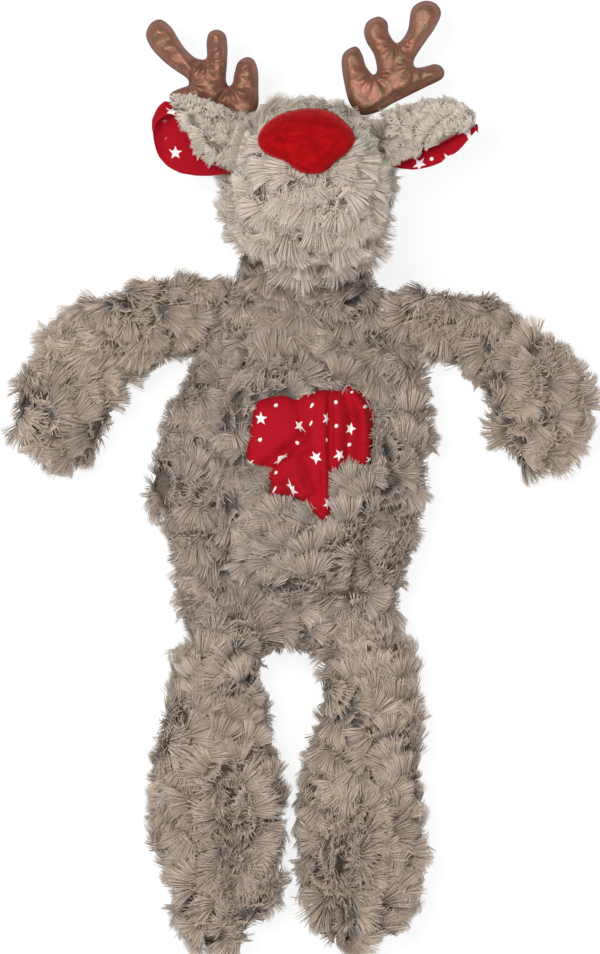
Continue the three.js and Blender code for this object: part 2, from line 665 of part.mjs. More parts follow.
function addArm(group, arm) {
  const line = armLineShares[arm.name].map(([out, down]) => [
    arm.rootX + arm.side * arm.reach * out, arm.rootY - armDrop * down,
  ]);
  const form = {
    spine: spineThrough(line), shares: armShares[arm.name], width: arm.width, depth: armDepth,
    squareness: armSquareness, endRound: handRound, lies: true,
  };
  const outer = stuffedForm(form).subtract(underTable).subtract(shoulderCrease(arm));
  const welted = outer.add(weltAlong(shoulderSeam(arm), weltRadius, shoulderWidth));
  const { x, y } = form.spine.getPointAt(2 / 3);
  addStuffed(group, `arm_${arm.name}`, welted, form, x, y);
}

// Each foot has a stitched cleft down its front that makes two toes of it.
function addLeg(group, leg) {
  const form = {
    spine: spineBetween(leg.rootX, hipY, leg.footX, hipY - legLength),
    shares: legShares[leg.name], width: leg.width, depth: legDepth, squareness: legSquareness,
    endRound: footRound, lies: true,
  };
  const cleftX = leg.footX + leg.cleftShare * leg.width;
  const toesY = hipY - legLength;
  const cleftForm = {
    spine: spineThrough([[cleftX, toesY + cleftLength, legDepth], [cleftX, toesY - cleftWidth, legDepth]]),
    shares: [[0, 1, 1], [1, 1, 1]], width: cleftWidth, depth: 2 * cleftDepth, startRound: cleftLength / 2,
  };
  const cleft = stuffedForm(cleftForm, 0, fillingRings, fillingSteps);
  const outer = stuffedForm(form).subtract(underTable).subtract(hipCrease).subtract(cleft);
  const slim = { ...form, depth: legDepth - cleftDepth };
  const welted = outer.add(weltAlong(hipSeam(leg), weltRadius, hipWidth));
  addStuffed(group, `leg_${leg.name}`, welted, slim, leg.footX, hipY - legLength / 2);
}

const deer = new THREE.Group();
addTorso(deer);
addBelly(deer);
addHead(deer);
addMuzzleAndNose(deer);
for (const antler of [leftAntler, rightAntler]) addAntler(deer, antler);
for (const ear of [leftEar, rightEar]) addEar(deer, ear);
for (const arm of [leftArm, rightArm]) addArm(deer, arm);
for (const leg of [leftLeg, rightLeg]) addLeg(deer, leg);

export default deer;
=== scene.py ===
# Looks of the plush reindeer, which lies on its back: +Y runs up to its head and +Z out of its front.
import json
import math

import bpy
import numpy as np
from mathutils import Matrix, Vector
from mathutils.bvhtree import BVHTree
from mathutils.geometry import delaunay_2d_cdt


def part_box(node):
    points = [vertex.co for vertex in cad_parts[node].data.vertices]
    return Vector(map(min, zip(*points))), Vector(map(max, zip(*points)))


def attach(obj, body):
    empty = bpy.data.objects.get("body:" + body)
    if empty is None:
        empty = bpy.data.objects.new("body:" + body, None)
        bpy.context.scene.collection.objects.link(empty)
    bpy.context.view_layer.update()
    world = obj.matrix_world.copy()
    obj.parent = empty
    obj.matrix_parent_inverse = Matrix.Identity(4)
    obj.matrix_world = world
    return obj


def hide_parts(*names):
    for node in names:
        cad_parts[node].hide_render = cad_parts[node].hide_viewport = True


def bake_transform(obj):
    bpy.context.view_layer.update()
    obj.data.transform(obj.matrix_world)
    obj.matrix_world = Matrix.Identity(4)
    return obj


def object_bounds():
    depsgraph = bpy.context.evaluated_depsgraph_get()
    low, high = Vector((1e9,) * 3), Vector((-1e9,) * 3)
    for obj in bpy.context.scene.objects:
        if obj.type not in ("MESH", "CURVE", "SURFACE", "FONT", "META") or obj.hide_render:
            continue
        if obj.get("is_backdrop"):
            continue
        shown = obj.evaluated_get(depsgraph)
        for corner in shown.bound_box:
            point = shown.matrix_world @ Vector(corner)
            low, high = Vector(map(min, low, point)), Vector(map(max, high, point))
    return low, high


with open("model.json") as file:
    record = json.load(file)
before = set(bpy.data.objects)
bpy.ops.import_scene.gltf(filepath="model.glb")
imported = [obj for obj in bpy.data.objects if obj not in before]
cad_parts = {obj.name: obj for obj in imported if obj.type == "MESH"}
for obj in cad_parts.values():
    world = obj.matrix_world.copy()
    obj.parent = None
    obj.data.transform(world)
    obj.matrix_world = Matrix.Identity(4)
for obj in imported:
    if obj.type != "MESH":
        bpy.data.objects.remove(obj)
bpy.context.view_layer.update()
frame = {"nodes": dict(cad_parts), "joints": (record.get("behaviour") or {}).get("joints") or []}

MM = 0.001
UP = np.array([0.0, 0.0, 1.0])

# The view: straight down from far above, with what one pixel of the photograph spans at the toy's middle
FRAME_WIDE, FRAME_HIGH = 600, 954
PIXEL = 0.56 * MM
VIEW_MIDDLE = np.array([3.9, 1.7, 25]) * MM
VIEW_DISTANCE = 4.0
SENSOR = 36.0

# Where the pile can't reach below: the table
TABLE_CLEAR = 0.4 * MM

JOINTS = {joint["name"]: np.array(joint["pos_m"]) for joint in frame["joints"]}
NECK = JOINTS["neck_nod"]
HIPS = {side: JOINTS[f"hip_{side}_fold"] for side in ("left", "right")}
SHOULDERS = {side: JOINTS[f"shoulder_{side}_fold"] for side in ("left", "right")}
SIDES = {"left": -1, "right": 1}


def spots(pixels, height):
    """Where the camera sees these pixels, at a height above the table."""
    shrink = PIXEL * (1 - (height - VIEW_MIDDLE[2]) / VIEW_DISTANCE)
    flat = (np.array(pixels, float) - [FRAME_WIDE / 2, FRAME_HIGH / 2]) * [shrink, -shrink]
    return flat + VIEW_MIDDLE[:2]


def unit(vectors):
    """The same vectors at length one."""
    return vectors / np.maximum(np.linalg.norm(vectors, axis=-1, keepdims=True), 1e-12)


def tree_of(*nodes):
    """What rays are cast at: the surfaces of some nodes of the frame."""
    points, faces = [], []
    for node in nodes:
        mesh = frame["nodes"][node].data
        start = len(points)
        points += [v.co.copy() for v in mesh.vertices]
        faces += [[start + i for i in p.vertices] for p in mesh.polygons]
    return BVHTree.FromPolygons(points, faces)


def normals_of(points, faces):
    """Smooth normals of a mesh of triangles."""
    a, b, c = (points[faces[:, k]] for k in range(3))
    across = np.cross(b - a, c - a)
    normals = np.zeros_like(points)
    for k in range(3):
        np.add.at(normals, faces[:, k], across)
    return unit(normals)


def skin_over(rings):
    """Points and triangles of a closed skin over rings of points, with a pole at each end."""
    count, steps = rings.shape[:2]
    points = np.vstack([rings[0].mean(0), rings.reshape(-1, 3), rings[-1].mean(0)])
    ring, step = np.meshgrid(np.arange(count - 1), np.arange(steps), indexing="ij")
    here, after = 1 + ring * steps + step, 1 + ring * steps + (step + 1) % steps
    above, above_after = here + steps, after + steps
    quads = np.stack([here, above_after, after, here, above, above_after], -1).reshape(-1, 3)
    loop = np.arange(steps)
    first = np.stack([np.zeros(steps, int), 1 + loop, 1 + (loop + 1) % steps], 1)
    top = 1 + (count - 1) * steps
    last = np.stack([np.full(steps, len(points) - 1), top + (loop + 1) % steps, top + loop], 1)
    return points, np.vstack([quads, first, last])


def smoothed(rings, times):
    """Rings of points with their facets eased, round each ring and from ring to ring."""
    for _ in range(times):
        rings = (np.roll(rings, 1, 1) + 2 * rings + np.roll(rings, -1, 1)) / 4
        inner = (rings[:-2] + 2 * rings[1:-1] + rings[2:]) / 4
        rings = np.concatenate([rings[:1], inner, rings[-1:]])
    return rings


def add_mesh(name, points, faces, uv=None, smooth=True):
    """A mesh object of triangles or quads, with a map of its own if uv gives each corner's place."""
    mesh = bpy.data.meshes.new(name)
    corners = faces.shape[1]
    mesh.vertices.add(len(points))
    mesh.vertices.foreach_set("co", points.astype(np.float32).ravel())
    mesh.loops.add(faces.size)
    mesh.loops.foreach_set("vertex_index", faces.astype(np.int32).ravel())
    mesh.polygons.add(len(faces))
    mesh.polygons.foreach_set("loop_start", np.arange(0, faces.size, corners, dtype=np.int32))
    mesh.polygons.foreach_set("loop_total", np.full(len(faces), corners, dtype=np.int32))
    mesh.update(calc_edges=True)
    mesh.polygons.foreach_set("use_smooth", np.full(len(faces), smooth))
    if uv is not None:
        layer = mesh.uv_layers.new(name="OFBake")
        layer.uv.foreach_set("vector", uv.astype(np.float32).ravel())
    piece = bpy.data.objects.new(name, mesh)
    bpy.context.scene.collection.objects.link(piece)
    return piece


# Materials


class Nodes:
    """Shorthand for building one material's nodes."""

    def __init__(self, name):
        self.material = bpy.data.materials.new(name)
        self.material.use_nodes = True
        self.tree = self.material.node_tree
        self.shader = self.tree.nodes["Principled BSDF"]

    def feed(self, node, inputs):
        """Gives inputs, named or numbered, a number, a colour or another node's output."""
        for key, value in inputs.items():
            socket = node.inputs[key]
            if isinstance(value, bpy.types.NodeSocket):
                self.tree.links.new(value, socket)
            else:
                socket.default_value = (*value, 1) if isinstance(value, tuple) else value
        return node

    def add(self, kind, inputs=None, **settings):
        node = self.tree.nodes.new(kind)
        for key, value in settings.items():
            setattr(node, key, value)
        return self.feed(node, inputs or {})

    def math(self, operation, first, second=None, clamp=False):
        inputs = {0: first} if second is None else {0: first, 1: second}
        return self.add("ShaderNodeMath", inputs, operation=operation, use_clamp=clamp).outputs[0]

    def length(self, x, y):
        return self.math("SQRT", self.math("ADD", self.math("MULTIPLY", x, x), self.math("MULTIPLY", y, y)))

    def noise(self, scale, dimensions="3D", **inputs):
        inputs = {"Scale": scale, **inputs}
        return self.add("ShaderNodeTexNoise", inputs, noise_dimensions=dimensions).outputs[0]

    def place_on(self, uv_map):
        """The two coordinates of a map."""
        place = self.add("ShaderNodeUVMap", uv_map=uv_map).outputs[0]
        return self.add("ShaderNodeSeparateXYZ", {0: place}).outputs[:2]

    def point(self, x, y):
        return self.add("ShaderNodeCombineXYZ", {0: x, 1: y}).outputs[0]

    def ramp(self, value, stops):
        node = self.add("ShaderNodeValToRGB", {0: value})
        elements = node.color_ramp.elements
        while len(elements) < len(stops):
            elements.new(0.5)
        for element, (place, color) in zip(elements, stops):
            element.position = place
            element.color = (*color, 1)
        return node.outputs[0]

    def mix(self, factor, first, second, blend="MIX"):
        inputs = {0: factor, 6: first, 7: second}
        return self.add("ShaderNodeMix", inputs, data_type="RGBA", blend_type=blend).outputs[2]

    def bump(self, height, strength, distance):
        inputs = {"Height": height, "Strength": strength, "Distance": distance}
        self.feed(self.shader, {"Normal": self.add("ShaderNodeBump", inputs).outputs[0]})

    def surface(self, color, roughness, inputs=None):
        """The finished material, with this colour and what else its shader is given."""
        self.feed(self.shader, {"Base Color": color, "Roughness": roughness, **(inputs or {})})
        return self.material


# The streaks of single fibres, fine and broad: how often across a tuft's map and along it, with how much
# finer detail, and their share in the whole
STREAKS = (150, 2.2, 2, 0.6), (34, 1.5, 1, 0.4)


def pile_material(name, dark, mid, light, pale):
    """Pile: its map's V runs from dark roots to pale tips, with streaks of single fibres along it. The roots'
    darkness is partly the fibres' own tone and partly painted shade deep in the pile.
    """
    n = Nodes(name)
    u, v = n.place_on("OFBake")
    streaks = []
    for fine, long, detail, _ in STREAKS:
        place = n.point(n.math("MULTIPLY", u, fine), n.math("MULTIPLY", v, long))
        streaks.append(n.noise(1.0, "2D", Detail=detail, Vector=place))
    fibres = n.math("ADD", *(n.math("MULTIPLY", streak, row[3]) for streak, row in zip(streaks, STREAKS)))
    # Darker towards the roots: partly the fibres' own tone, partly painted shade deep in the pile
    along = n.ramp(v, [(0.0, dark), (0.3, mid), (0.68, light), (1.0, pale)])
    shade = n.ramp(fibres, [(0.3, (0.66, 0.64, 0.61)), (0.5, (0.9, 0.88, 0.85)), (0.66, (1.0, 0.98, 0.95))])
    tint = n.ramp(n.noise(17, "1D", W=u), [(0.35, (1.0, 0.955, 0.885)), (0.65, (0.97, 0.985, 1.0))])
    color = n.mix(1.0, n.mix(1.0, along, shade, "MULTIPLY"), tint, "MULTIPLY")
    n.bump(streaks[0], 0.45, 0.35 * MM)
    return n.surface(color, 0.65, {"Specular IOR Level": 0.3, "Sheen Weight": 0.3, "Sheen Roughness": 0.5})


def backing_shade_material(name, dark, light):
    """The matted foot of the pile on its backing, seen only between tufts and kept dark as painted shade in
    the gaps.
    """
    n = Nodes(name)
    place = n.add("ShaderNodeTexCoord").outputs["Object"]
    fibres = n.noise(420, Detail=6, Distortion=3.5, Vector=place)
    n.bump(fibres, 1.0, 2.2 * MM)
    return n.surface(n.ramp(fibres, [(0.36, dark), (0.66, light)]), 1.0)


def velvet_material():
    """Short red velvet: the nap lies in soft patches and shines where it is seen edge on."""
    n = Nodes("nose_velvet")
    patches, fibres = n.noise(7, Detail=8, Roughness=0.7), n.noise(220)
    nap = n.math("ADD", n.math("MULTIPLY", patches, 0.8), n.math("MULTIPLY", fibres, 0.2))
    dark, mid, light = (0.21, 0.002, 0.003), (0.32, 0.003, 0.005), (0.45, 0.006, 0.009)
    n.bump(nap, 0.6, 0.6 * MM)
    return n.surface(n.ramp(nap, [(0.34, dark), (0.5, mid), (0.66, light)]), 1.0, {
        "Specular IOR Level": 0.05,
        "Sheen Weight": 0.6,
        "Sheen Roughness": 0.3,
        "Sheen Tint": (1.0, 0.14, 0.15),
    })


FOIL_DEPTH = 10 * MM  # what the foil's depth attribute counts in


def foil_material():
    """Bronze foil on cloth: crinkled, with an olive and a pink cast, with painted shade in the seam round its
    edge and a painted highlight on the band just inside it.
    """
    n = Nodes("antler_foil")
    olive, bronze, pink = (0.18, 0.108, 0.058), (0.225, 0.096, 0.06), (0.31, 0.128, 0.09)
    cast = n.ramp(n.noise(7, Detail=4), [(0.34, olive), (0.5, bronze), (0.7, pink)])
    # By depth from the edge: painted shade in the seam, and a painted highlight on the rounded band about 2
    # mm inside it
    seam, edge, crown_highlight, middle = (0.3, 0.22, 0.2), (0.95, 0.85, 0.85), (1.3, 1.2, 1.2), (1.0, 1.0, 1.0)
    depth = n.add("ShaderNodeAttribute", attribute_name="depth").outputs[2]
    rim = n.ramp(depth, [(0.0, seam), (0.05, edge), (0.2, crown_highlight), (0.5, middle)])
    crinkles = n.noise(16, Detail=3, Distortion=0.9)
    weave = n.add("ShaderNodeTexVoronoi", {"Scale": 260}).outputs[0]
    n.bump(n.math("ADD", crinkles, n.math("MULTIPLY", weave, 0.08)), 0.35, 1.6 * MM)
    return n.surface(n.mix(1.0, cast, rim, "MULTIPLY"), 0.4, {"Metallic": 0.55})


# The print's staggered cells, its stars with how far in their inner corners lie, its two sets of dots, each
# with its shift in cells and the share of cells without one, and the cotton's thread
STAR_CELL = 21 * MM
STAR_RADIUS = 3.9 * MM
STAR_INNER = 0.42
STAR_TURN = math.pi / 5
DOT_RADIUS = 1.05 * MM
DOT_SETS = ((0, 0.5), 0.15), ((0.5, 0), 0.45)
THREAD = 0.55 * MM


def scattered(n, place, jitter, shift=(0, 0)):
    """How far places on cloth are from their cells' middles, in staggered rows, and each cell's chance."""
    x, y = (n.math("ADD", n.math("DIVIDE", part, STAR_CELL), push) for part, push in zip(place, shift))
    row = n.math("FLOOR", y)
    x = n.math("ADD", x, n.math("MULTIPLY", row, 0.5))
    column = n.math("FLOOR", x)
    chance = n.add("ShaderNodeTexWhiteNoise", {0: n.point(column, row)}, noise_dimensions="3D").outputs
    parts = n.add("ShaderNodeSeparateXYZ", {0: chance[1]}).outputs
    away = []
    for value, whole, part in ((x, column, parts[0]), (y, row, parts[1])):
        inner = n.math("SUBTRACT", n.math("SUBTRACT", value, whole), 0.5)
        moved = n.math("ADD", inner, n.math("MULTIPLY", n.math("SUBTRACT", part, 0.5), jitter))
        away.append(n.math("MULTIPLY", moved, STAR_CELL))
    return away, chance[0]


def print_material():
    """Fine red cotton with small white stars and dots. Its map is the flat cloth, in metres."""
    n = Nodes("printed_cloth")
    flat = n.place_on("cloth")
    (x, y), chance = scattered(n, flat, 0.3)
    turn = n.math("ADD", n.math("ARCTAN2", y, x), n.math("MULTIPLY", chance, 2 * math.pi))
    fold = n.math("PINGPONG", turn, STAR_TURN)
    edge = STAR_INNER * math.sin(STAR_TURN), 1 - STAR_INNER * math.cos(STAR_TURN)
    parts = (n.math("MULTIPLY", n.math(wave, fold), part) for wave, part in zip(("COSINE", "SINE"), edge))
    reach = n.math("DIVIDE", n.math("MULTIPLY", n.length(x, y), n.math("ADD", *parts)), STAR_RADIUS * edge[0])
    white = n.math("MULTIPLY", n.math("SUBTRACT", 1.05, reach), 9, clamp=True)
    for shift, rare in DOT_SETS:
        (x, y), chance = scattered(n, flat, 0.15, shift)
        near = n.math("DIVIDE", n.length(x, y), DOT_RADIUS)
        dot = n.math("MULTIPLY", n.math("SUBTRACT", 1.1, near), 6, clamp=True)
        white = n.math("MAXIMUM", white, n.math("MULTIPLY", dot, n.math("GREATER_THAN", chance, rare)))
    threads = (n.math("SINE", n.math("MULTIPLY", part, 2 * math.pi / THREAD)) for part in flat)
    wear = n.noise(160, Detail=4)
    dark, mid, light = (0.27, 0.001, 0.006), (0.37, 0.003, 0.012), (0.48, 0.008, 0.024)
    color = n.mix(white, n.ramp(wear, [(0.3, dark), (0.5, mid), (0.7, light)]), (0.86, 0.82, 0.8))
    weave = n.math("MULTIPLY", n.math("MULTIPLY", *threads), 0.12)
    n.bump(n.math("ADD", weave, wear), 0.35, 0.6 * MM)
    return n.surface(color, 0.85, {"Specular IOR Level": 0.12})


PLUSH = pile_material(
    "plush_pile", (0.11, 0.081, 0.062), (0.325, 0.264, 0.223), (0.635, 0.537, 0.471), (0.92, 0.81, 0.74),
)
# A copy of the body's plush, made a little lighter, as painted light on the arms and legs
LIT_LIMB_PLUSH = pile_material(
    "limb_pile_painted_light", (0.118, 0.087, 0.066), (0.352, 0.283, 0.233), (0.67, 0.562, 0.478), (0.93, 0.81, 0.716),
)
HEAD_PLUSH = pile_material(
    "head_pile", (0.34, 0.282, 0.235), (0.635, 0.565, 0.5), (0.905, 0.835, 0.765), (0.975, 0.925, 0.875),
)
FACE_PLUSH = pile_material(
    "face_pile", (0.37, 0.305, 0.255), (0.64, 0.558, 0.498), (0.86, 0.78, 0.717), (0.95, 0.885, 0.83),
)
# The backings are dark as painted shade in the gaps between tufts; the face's is lighter, under its lighter
# pile
PLUSH_BACKING_SHADE = backing_shade_material("plush_backing_shade", (0.09, 0.07, 0.055), (0.31, 0.255, 0.205))
FACE_BACKING_SHADE = backing_shade_material("face_backing_shade", (0.22, 0.18, 0.145), (0.5, 0.42, 0.36))
VELVET = velvet_material()
FOIL = foil_material()
PRINT = print_material()

# Covers: the skins that the pile grows from


def sections(tree, centre, side, top, steps, reach):
    """A ring where rays from outside, square to a form's middle line, first meet its surface."""
    ring = np.zeros((steps, 3))
    for step in range(steps):
        angle = step / steps * 2 * math.pi
        way = side * math.cos(angle) + top * math.sin(angle)
        hit = tree.ray_cast(Vector(centre + way * reach), Vector(-way), reach)[0]
        ring[step] = centre if hit is None else np.array(hit)
    return ring


# Where the photograph's outline is fuller or slimmer than the frame's forms: a pixel, and in mm how far round
# it and by how much the covers are filled out
SWELLS = [
    (150, 465, 52, 12), (430, 372, 30, 3), (146, 500, 30, 8.5), (430, 500, 26, 4), (398, 622, 28, 3),
    (168, 380, 24, 7), (160, 655, 30, -6), (170, 590, 22, -3), (410, 590, 22, -1), (290, 790, 36, 7),
    (293, 664, 32, -9), (425, 720, 30, 3.5), (10, 400, 34, 4.5), (30, 475, 32, -9), (590, 372, 36, 7),
    (560, 480, 24, -5), (555, 325, 30, -2), (48, 318, 30, 6), (85, 300, 24, 5), (150, 890, 28, -6),
    (302, 94, 42, 2), (405, 282, 20, -5), (433, 840, 34, 2.5), (228, 260, 20, -6), (213, 200, 24, 4),
    (383, 262, 20, -6), (308, 286, 34, -4), (215, 946, 30, 6.5), (330, 942, 28, 6.5), (158, 735, 26, 4.5),
    (154, 820, 40, 3), (140, 290, 36, 2.5), (500, 300, 30, 2.5), (488, 415, 22, 3), (422, 700, 40, 2),
    (432, 420, 34, 2.5),
]
SWELL_HEIGHT = 25 * MM


def filled_out(points, normals):
    """Skin points moved sideways by the swells near them."""
    sideways = normals * [1, 1, 0]
    for x, y, reach, push in SWELLS:
        far = np.linalg.norm(points[:, :2] - spots([(x, y)], SWELL_HEIGHT)[0], axis=1)
        points = points + sideways * (push * MM * np.clip(1 - (far / (reach * MM)) ** 2, 0, 1) ** 2)[:, None]
    return points


def inset(rings, depth, times=2):
    """The skin this far under rings of points, with its triangles and normals."""
    rings = smoothed(rings, times)
    points, faces = skin_over(rings)
    inner = points - normals_of(points, faces) * depth
    count, steps = rings.shape[:2]
    points, faces = skin_over(smoothed(inner[1:-1].reshape(count, steps, 3), times))
    points = filled_out(points, normals_of(points, faces))
    return points, faces, normals_of(points, faces)


def tube(
    nodes, middle, first, last, hold, depth, rings=26, steps=40, narrow=(1.0, 1.0), rounds=(0, 0), times=2,
):
    """A skin inside a form that runs along a middle line.

    middle gives a point and a heading for each share. Sections between the shares hold[0] and hold[1] are
    measured; past them the nearest is carried on, so that the fold at a seam is filled out. narrow scales it
    at each end, and rounds gives the length over which each end closes.
    """
    tree = tree_of(*nodes)
    reach = 200 * MM
    shares = first + (last - first) * (1 - np.cos(np.linspace(0, math.pi, rings))) / 2
    length = np.linalg.norm(middle(last)[0] - middle(first)[0])
    result = []
    for share in shares:
        centre, heading = middle(min(max(share, hold[0]), hold[1]))
        upright = abs(heading[2]) > 0.9
        side = np.array([-1.0, 0, 0]) if upright else unit(np.cross(heading, UP))
        top = unit(np.cross(side, heading))
        offset = sections(tree, centre, side, top, steps, reach) - centre
        moved, moved_heading = middle(share)
        moved_side = side if upright else unit(np.cross(moved_heading, UP))
        scale = 1.0
        if share < hold[0]:
            scale = 1 + (narrow[0] - 1) * (hold[0] - share) / (hold[0] - first)
        if share > hold[1]:
            scale = 1 + (narrow[1] - 1) * (share - hold[1]) / (last - hold[1])
        for gap, radius in ((share - first) * length, rounds[0]), ((last - share) * length, rounds[1]):
            if radius and gap < radius:
                scale *= max(0.05, math.sqrt(max(0.0, 1 - (1 - gap / radius) ** 2)))
        wide = (offset @ side)[:, None] * moved_side * scale
        result.append(moved + wide + (offset @ top)[:, None] * top * min(1, scale + 0.1))
    return inset(np.array(result), depth, times)


def straight(start, end):
    """A middle line from start to end."""
    start, end = np.array(start), np.array(end)
    return lambda share: (start + (end - start) * share, unit(end - start))


def quarter_round(root, side, reach, drop):
    """A middle line that leaves the root sideways and turns down a quarter of an ellipse."""
    def at(share):
        turn = share * math.pi / 2
        point = root + np.array([side * reach * math.sin(turn), -drop * (1 - math.cos(turn)), 0])
        return point, unit(np.array([side * reach * math.cos(turn), -drop * math.sin(turn), 0]))
    return at


def depth_in(skin):
    """A measure of how deep places lie in a closed skin, below zero for those outside."""
    tree = BVHTree.FromPolygons(skin[0].tolist(), skin[1].tolist())
    way = Vector((0.31, 0.23, 0.92)).normalized()

    def measure(places):
        depths = []
        for place in places:
            start, crossings = Vector(place), 0
            hit = tree.ray_cast(start, way)[0]
            while hit is not None:
                crossings += 1
                hit = tree.ray_cast(hit + way * 1e-6, way)[0]
            near = tree.find_nearest(start)[3]
            depths.append(near if crossings % 2 else -near)
        return np.array(depths)
    return measure


# Pile: fans that spring from a tuft's root, lean over and spread. Each is a blade, for the mass of its
# fibres, with strands lying on it.

LENGTH = 17.5 * MM
SPACING = 10 * MM
STRANDS = 155
THICK = 0.21 * MM

# How far along each strand its rings lie, and how thick it is there. The last ring is drawn to a point.
STRAND_PLACES = np.array([0, 0.4, 0.84, 1.0])
STRAND_GIRTHS = (0.9, 1.0, 0.85)
SHORT_PLACES = np.array([0, 0.75, 1.0])
SHORT_GIRTHS = (1.0, 0.9)
BLADE_PLACES = np.array([0, 0.18, 0.36, 0.54])
BLADE_COLUMNS = 11
BLADE_THICK = 0.3 * MM
UNDER_BLADE = 8  # one strand in so many lies under its tuft's blade
MAX_STRANDS = 12000
MAX_FACES = 190000

# The undercoat: its spacing, length and thickness against the long pile's, and its own fans
SHORT_SPACING, SHORT_LENGTH, SHORT_THICK = 0.5, 0.62, 1.4
SHORT_FAN, SHORT_STRANDS, SHORT_FLAT = (60, 120), 22, -12
# The tones of undercoat and long pile on the map: the undercoat is darker, as painted shade in the gaps
# between tufts
SHORT_TONE, LONG_TONE = 0.2, 0.55


def wave_field(seed, wavelength):
    """A smooth vector field of random waves of about this length."""
    rng = np.random.default_rng(seed)
    ways = unit(rng.normal(size=(9, 3))) * (2 * math.pi / wavelength) * rng.uniform(0.6, 1.4, (9, 1))
    phases, pushes = rng.uniform(0, 2 * math.pi, 9), rng.normal(size=(9, 3))
    return lambda points: np.sin(points @ ways.T + phases) @ pushes


def scatter(skin, spacing, rng, keep=None):
    """Tuft roots spread over a skin, none nearer than the spacing, with the skin's normals there."""
    points, faces, normals = skin
    a, b, c = (points[faces[:, k]] for k in range(3))
    area = np.linalg.norm(np.cross(b - a, c - a), axis=1) / 2
    tries = int(area.sum() / spacing**2 * 9)
    chosen = rng.choice(len(faces), tries, p=area / area.sum())
    u, v = rng.random((2, tries, 1))
    u, v = np.where(u + v > 1, 1 - u, u), np.where(u + v > 1, 1 - v, v)
    places = a[chosen] + u * (b[chosen] - a[chosen]) + v * (c[chosen] - a[chosen])
    na, nb, nc = (normals[faces[chosen, k]] for k in range(3))
    ways = unit(na + u * (nb - na) + v * (nc - na))
    cells, kept = {}, []
    for i, cell in enumerate(np.floor(places / spacing).astype(int).tolist()):
        near = [
            places[j] for dx in (-1, 0, 1) for dy in (-1, 0, 1) for dz in (-1, 0, 1)
            for j in cells.get((cell[0] + dx, cell[1] + dy, cell[2] + dz), ())
        ]
        if not near or ((np.array(near) - places[i]) ** 2).sum(1).min() > spacing**2:
            cells.setdefault(tuple(cell), []).append(i)
            kept.append(i)
    places, ways = places[kept], ways[kept]
    if keep is not None:
        held = keep(places, ways)
        places, ways = places[held], ways[held]
    return places, ways


def lifted(points):
    """The same points, with those that would sink into the table spread over it."""
    low = points[..., 2]
    points[..., 2] = np.where(low < TABLE_CLEAR, TABLE_CLEAR + 0.02 * np.abs(low - TABLE_CLEAR), low)
    return points


def map_places(shade, tone, marks):
    """Places on a pile's map: U finds the streaks, V runs from roots to tips, and pale tufts lie higher."""
    shade, tone, marks = np.broadcast_arrays(shade, tone, marks)
    return np.stack([np.clip(shade, 0.01, 0.99), 0.01 + 0.7 * marks + 0.27 * np.clip(tone, 0, 1)], -1)


def strands_over(lines, ways, reference, girth, shade, tone):
    """Points, faces and map of closed strands along lines: triangular tubes, each with a drawn-out tip."""
    total, count = lines.shape[:2]
    whole = count == len(STRAND_PLACES)
    marks, girths = (STRAND_PLACES, STRAND_GIRTHS) if whole else (SHORT_PLACES, SHORT_GIRTHS)
    across = unit(reference - (reference * ways).sum(2, keepdims=True) * ways)
    third = np.cross(ways, across)
    tip = 3 * (count - 1)
    points = np.zeros((total, tip + 1, 3), np.float32)
    for ring, taper in enumerate(girths):
        for corner in range(3):
            angle = corner * 2 * math.pi / 3
            around = across[:, ring] * math.cos(angle) + third[:, ring] * math.sin(angle) * 0.7
            points[:, 3 * ring + corner] = lines[:, ring] + around * girth * taper
    points[:, tip] = lines[:, -1]
    sheets, places = [[2, 1, 0]], [[(0, 0), (0.5, 0.01), (1, 0)]]
    for ring in range(count - 1):
        for corner in range(3):
            a, b = 3 * ring + corner, 3 * ring + (corner + 1) % 3
            x, y, here, after = corner / 3, (corner + 1) / 3, marks[ring], marks[ring + 1]
            if ring == count - 2:
                sheets.append([a, b, tip])
                places.append([(x, here), (y, here), ((x + y) / 2, after)])
            else:
                sheets += [[a, b, b + 3], [a, b + 3, a + 3]]
                places += [[(x, here), (y, here), (y, after)], [(x, here), (y, after), (x, after)]]
    sheets, places = np.array(sheets), np.array(places)
    faces = (np.arange(total)[:, None, None] * (tip + 1) + sheets).reshape(-1, 3)
    shade = shade.reshape(-1, 1, 1) + 0.004 * places[..., 0]
    uv = map_places(shade, tone.reshape(-1, 1, 1), places[..., 1])
    return lifted(points.reshape(-1, 3)), faces, uv.reshape(-1, 2)


def sheet_faces(rows, columns):
    """Triangles of a closed sheet between two grids of points, one listed after the other."""
    row, column = np.meshgrid(np.arange(rows - 1), np.arange(columns - 1), indexing="ij")
    a, layer = (row * columns + column).ravel(), rows * columns
    b, c, d = a + columns, a + columns + 1, a + 1
    edge = np.concatenate([
        np.arange(rows - 1) * columns, (rows - 1) * columns + np.arange(columns - 1),
        np.arange(rows - 1, 0, -1) * columns + columns - 1, np.arange(columns - 1, 0, -1),
    ])
    after = np.roll(edge, -1)
    quads = np.vstack([
        np.column_stack([a, b, c, d]), np.column_stack([a, d, c, b]) + layer,
        np.column_stack([edge, edge + layer, after + layer, after]),
    ])
    return np.vstack([quads[:, [0, 1, 2]], quads[:, [0, 2, 3]]])


def blades_over(lines, normals, shade, tone):
    """Points, faces and map of thin closed blades, each over a grid of lines."""
    total, columns, rows = lines.shape[:3]
    layer = columns * rows
    lower = lines - normals[:, None, None] * BLADE_THICK
    points = np.stack([lines, lower], 1).reshape(-1, 3)
    sheets = sheet_faces(columns, rows)
    faces = (np.arange(total)[:, None, None] * 2 * layer + sheets).reshape(-1, 3)
    spot = np.arange(2 * layer)
    across = spot % layer // rows / (columns - 1) - 0.5
    along = BLADE_PLACES[spot % rows] - 0.02 * (spot >= layer)
    uv = map_places((shade + 0.16 * across)[:, sheets], tone[:, :, None], along[sheets])
    return lifted(points), faces, uv.reshape(-1, 2)


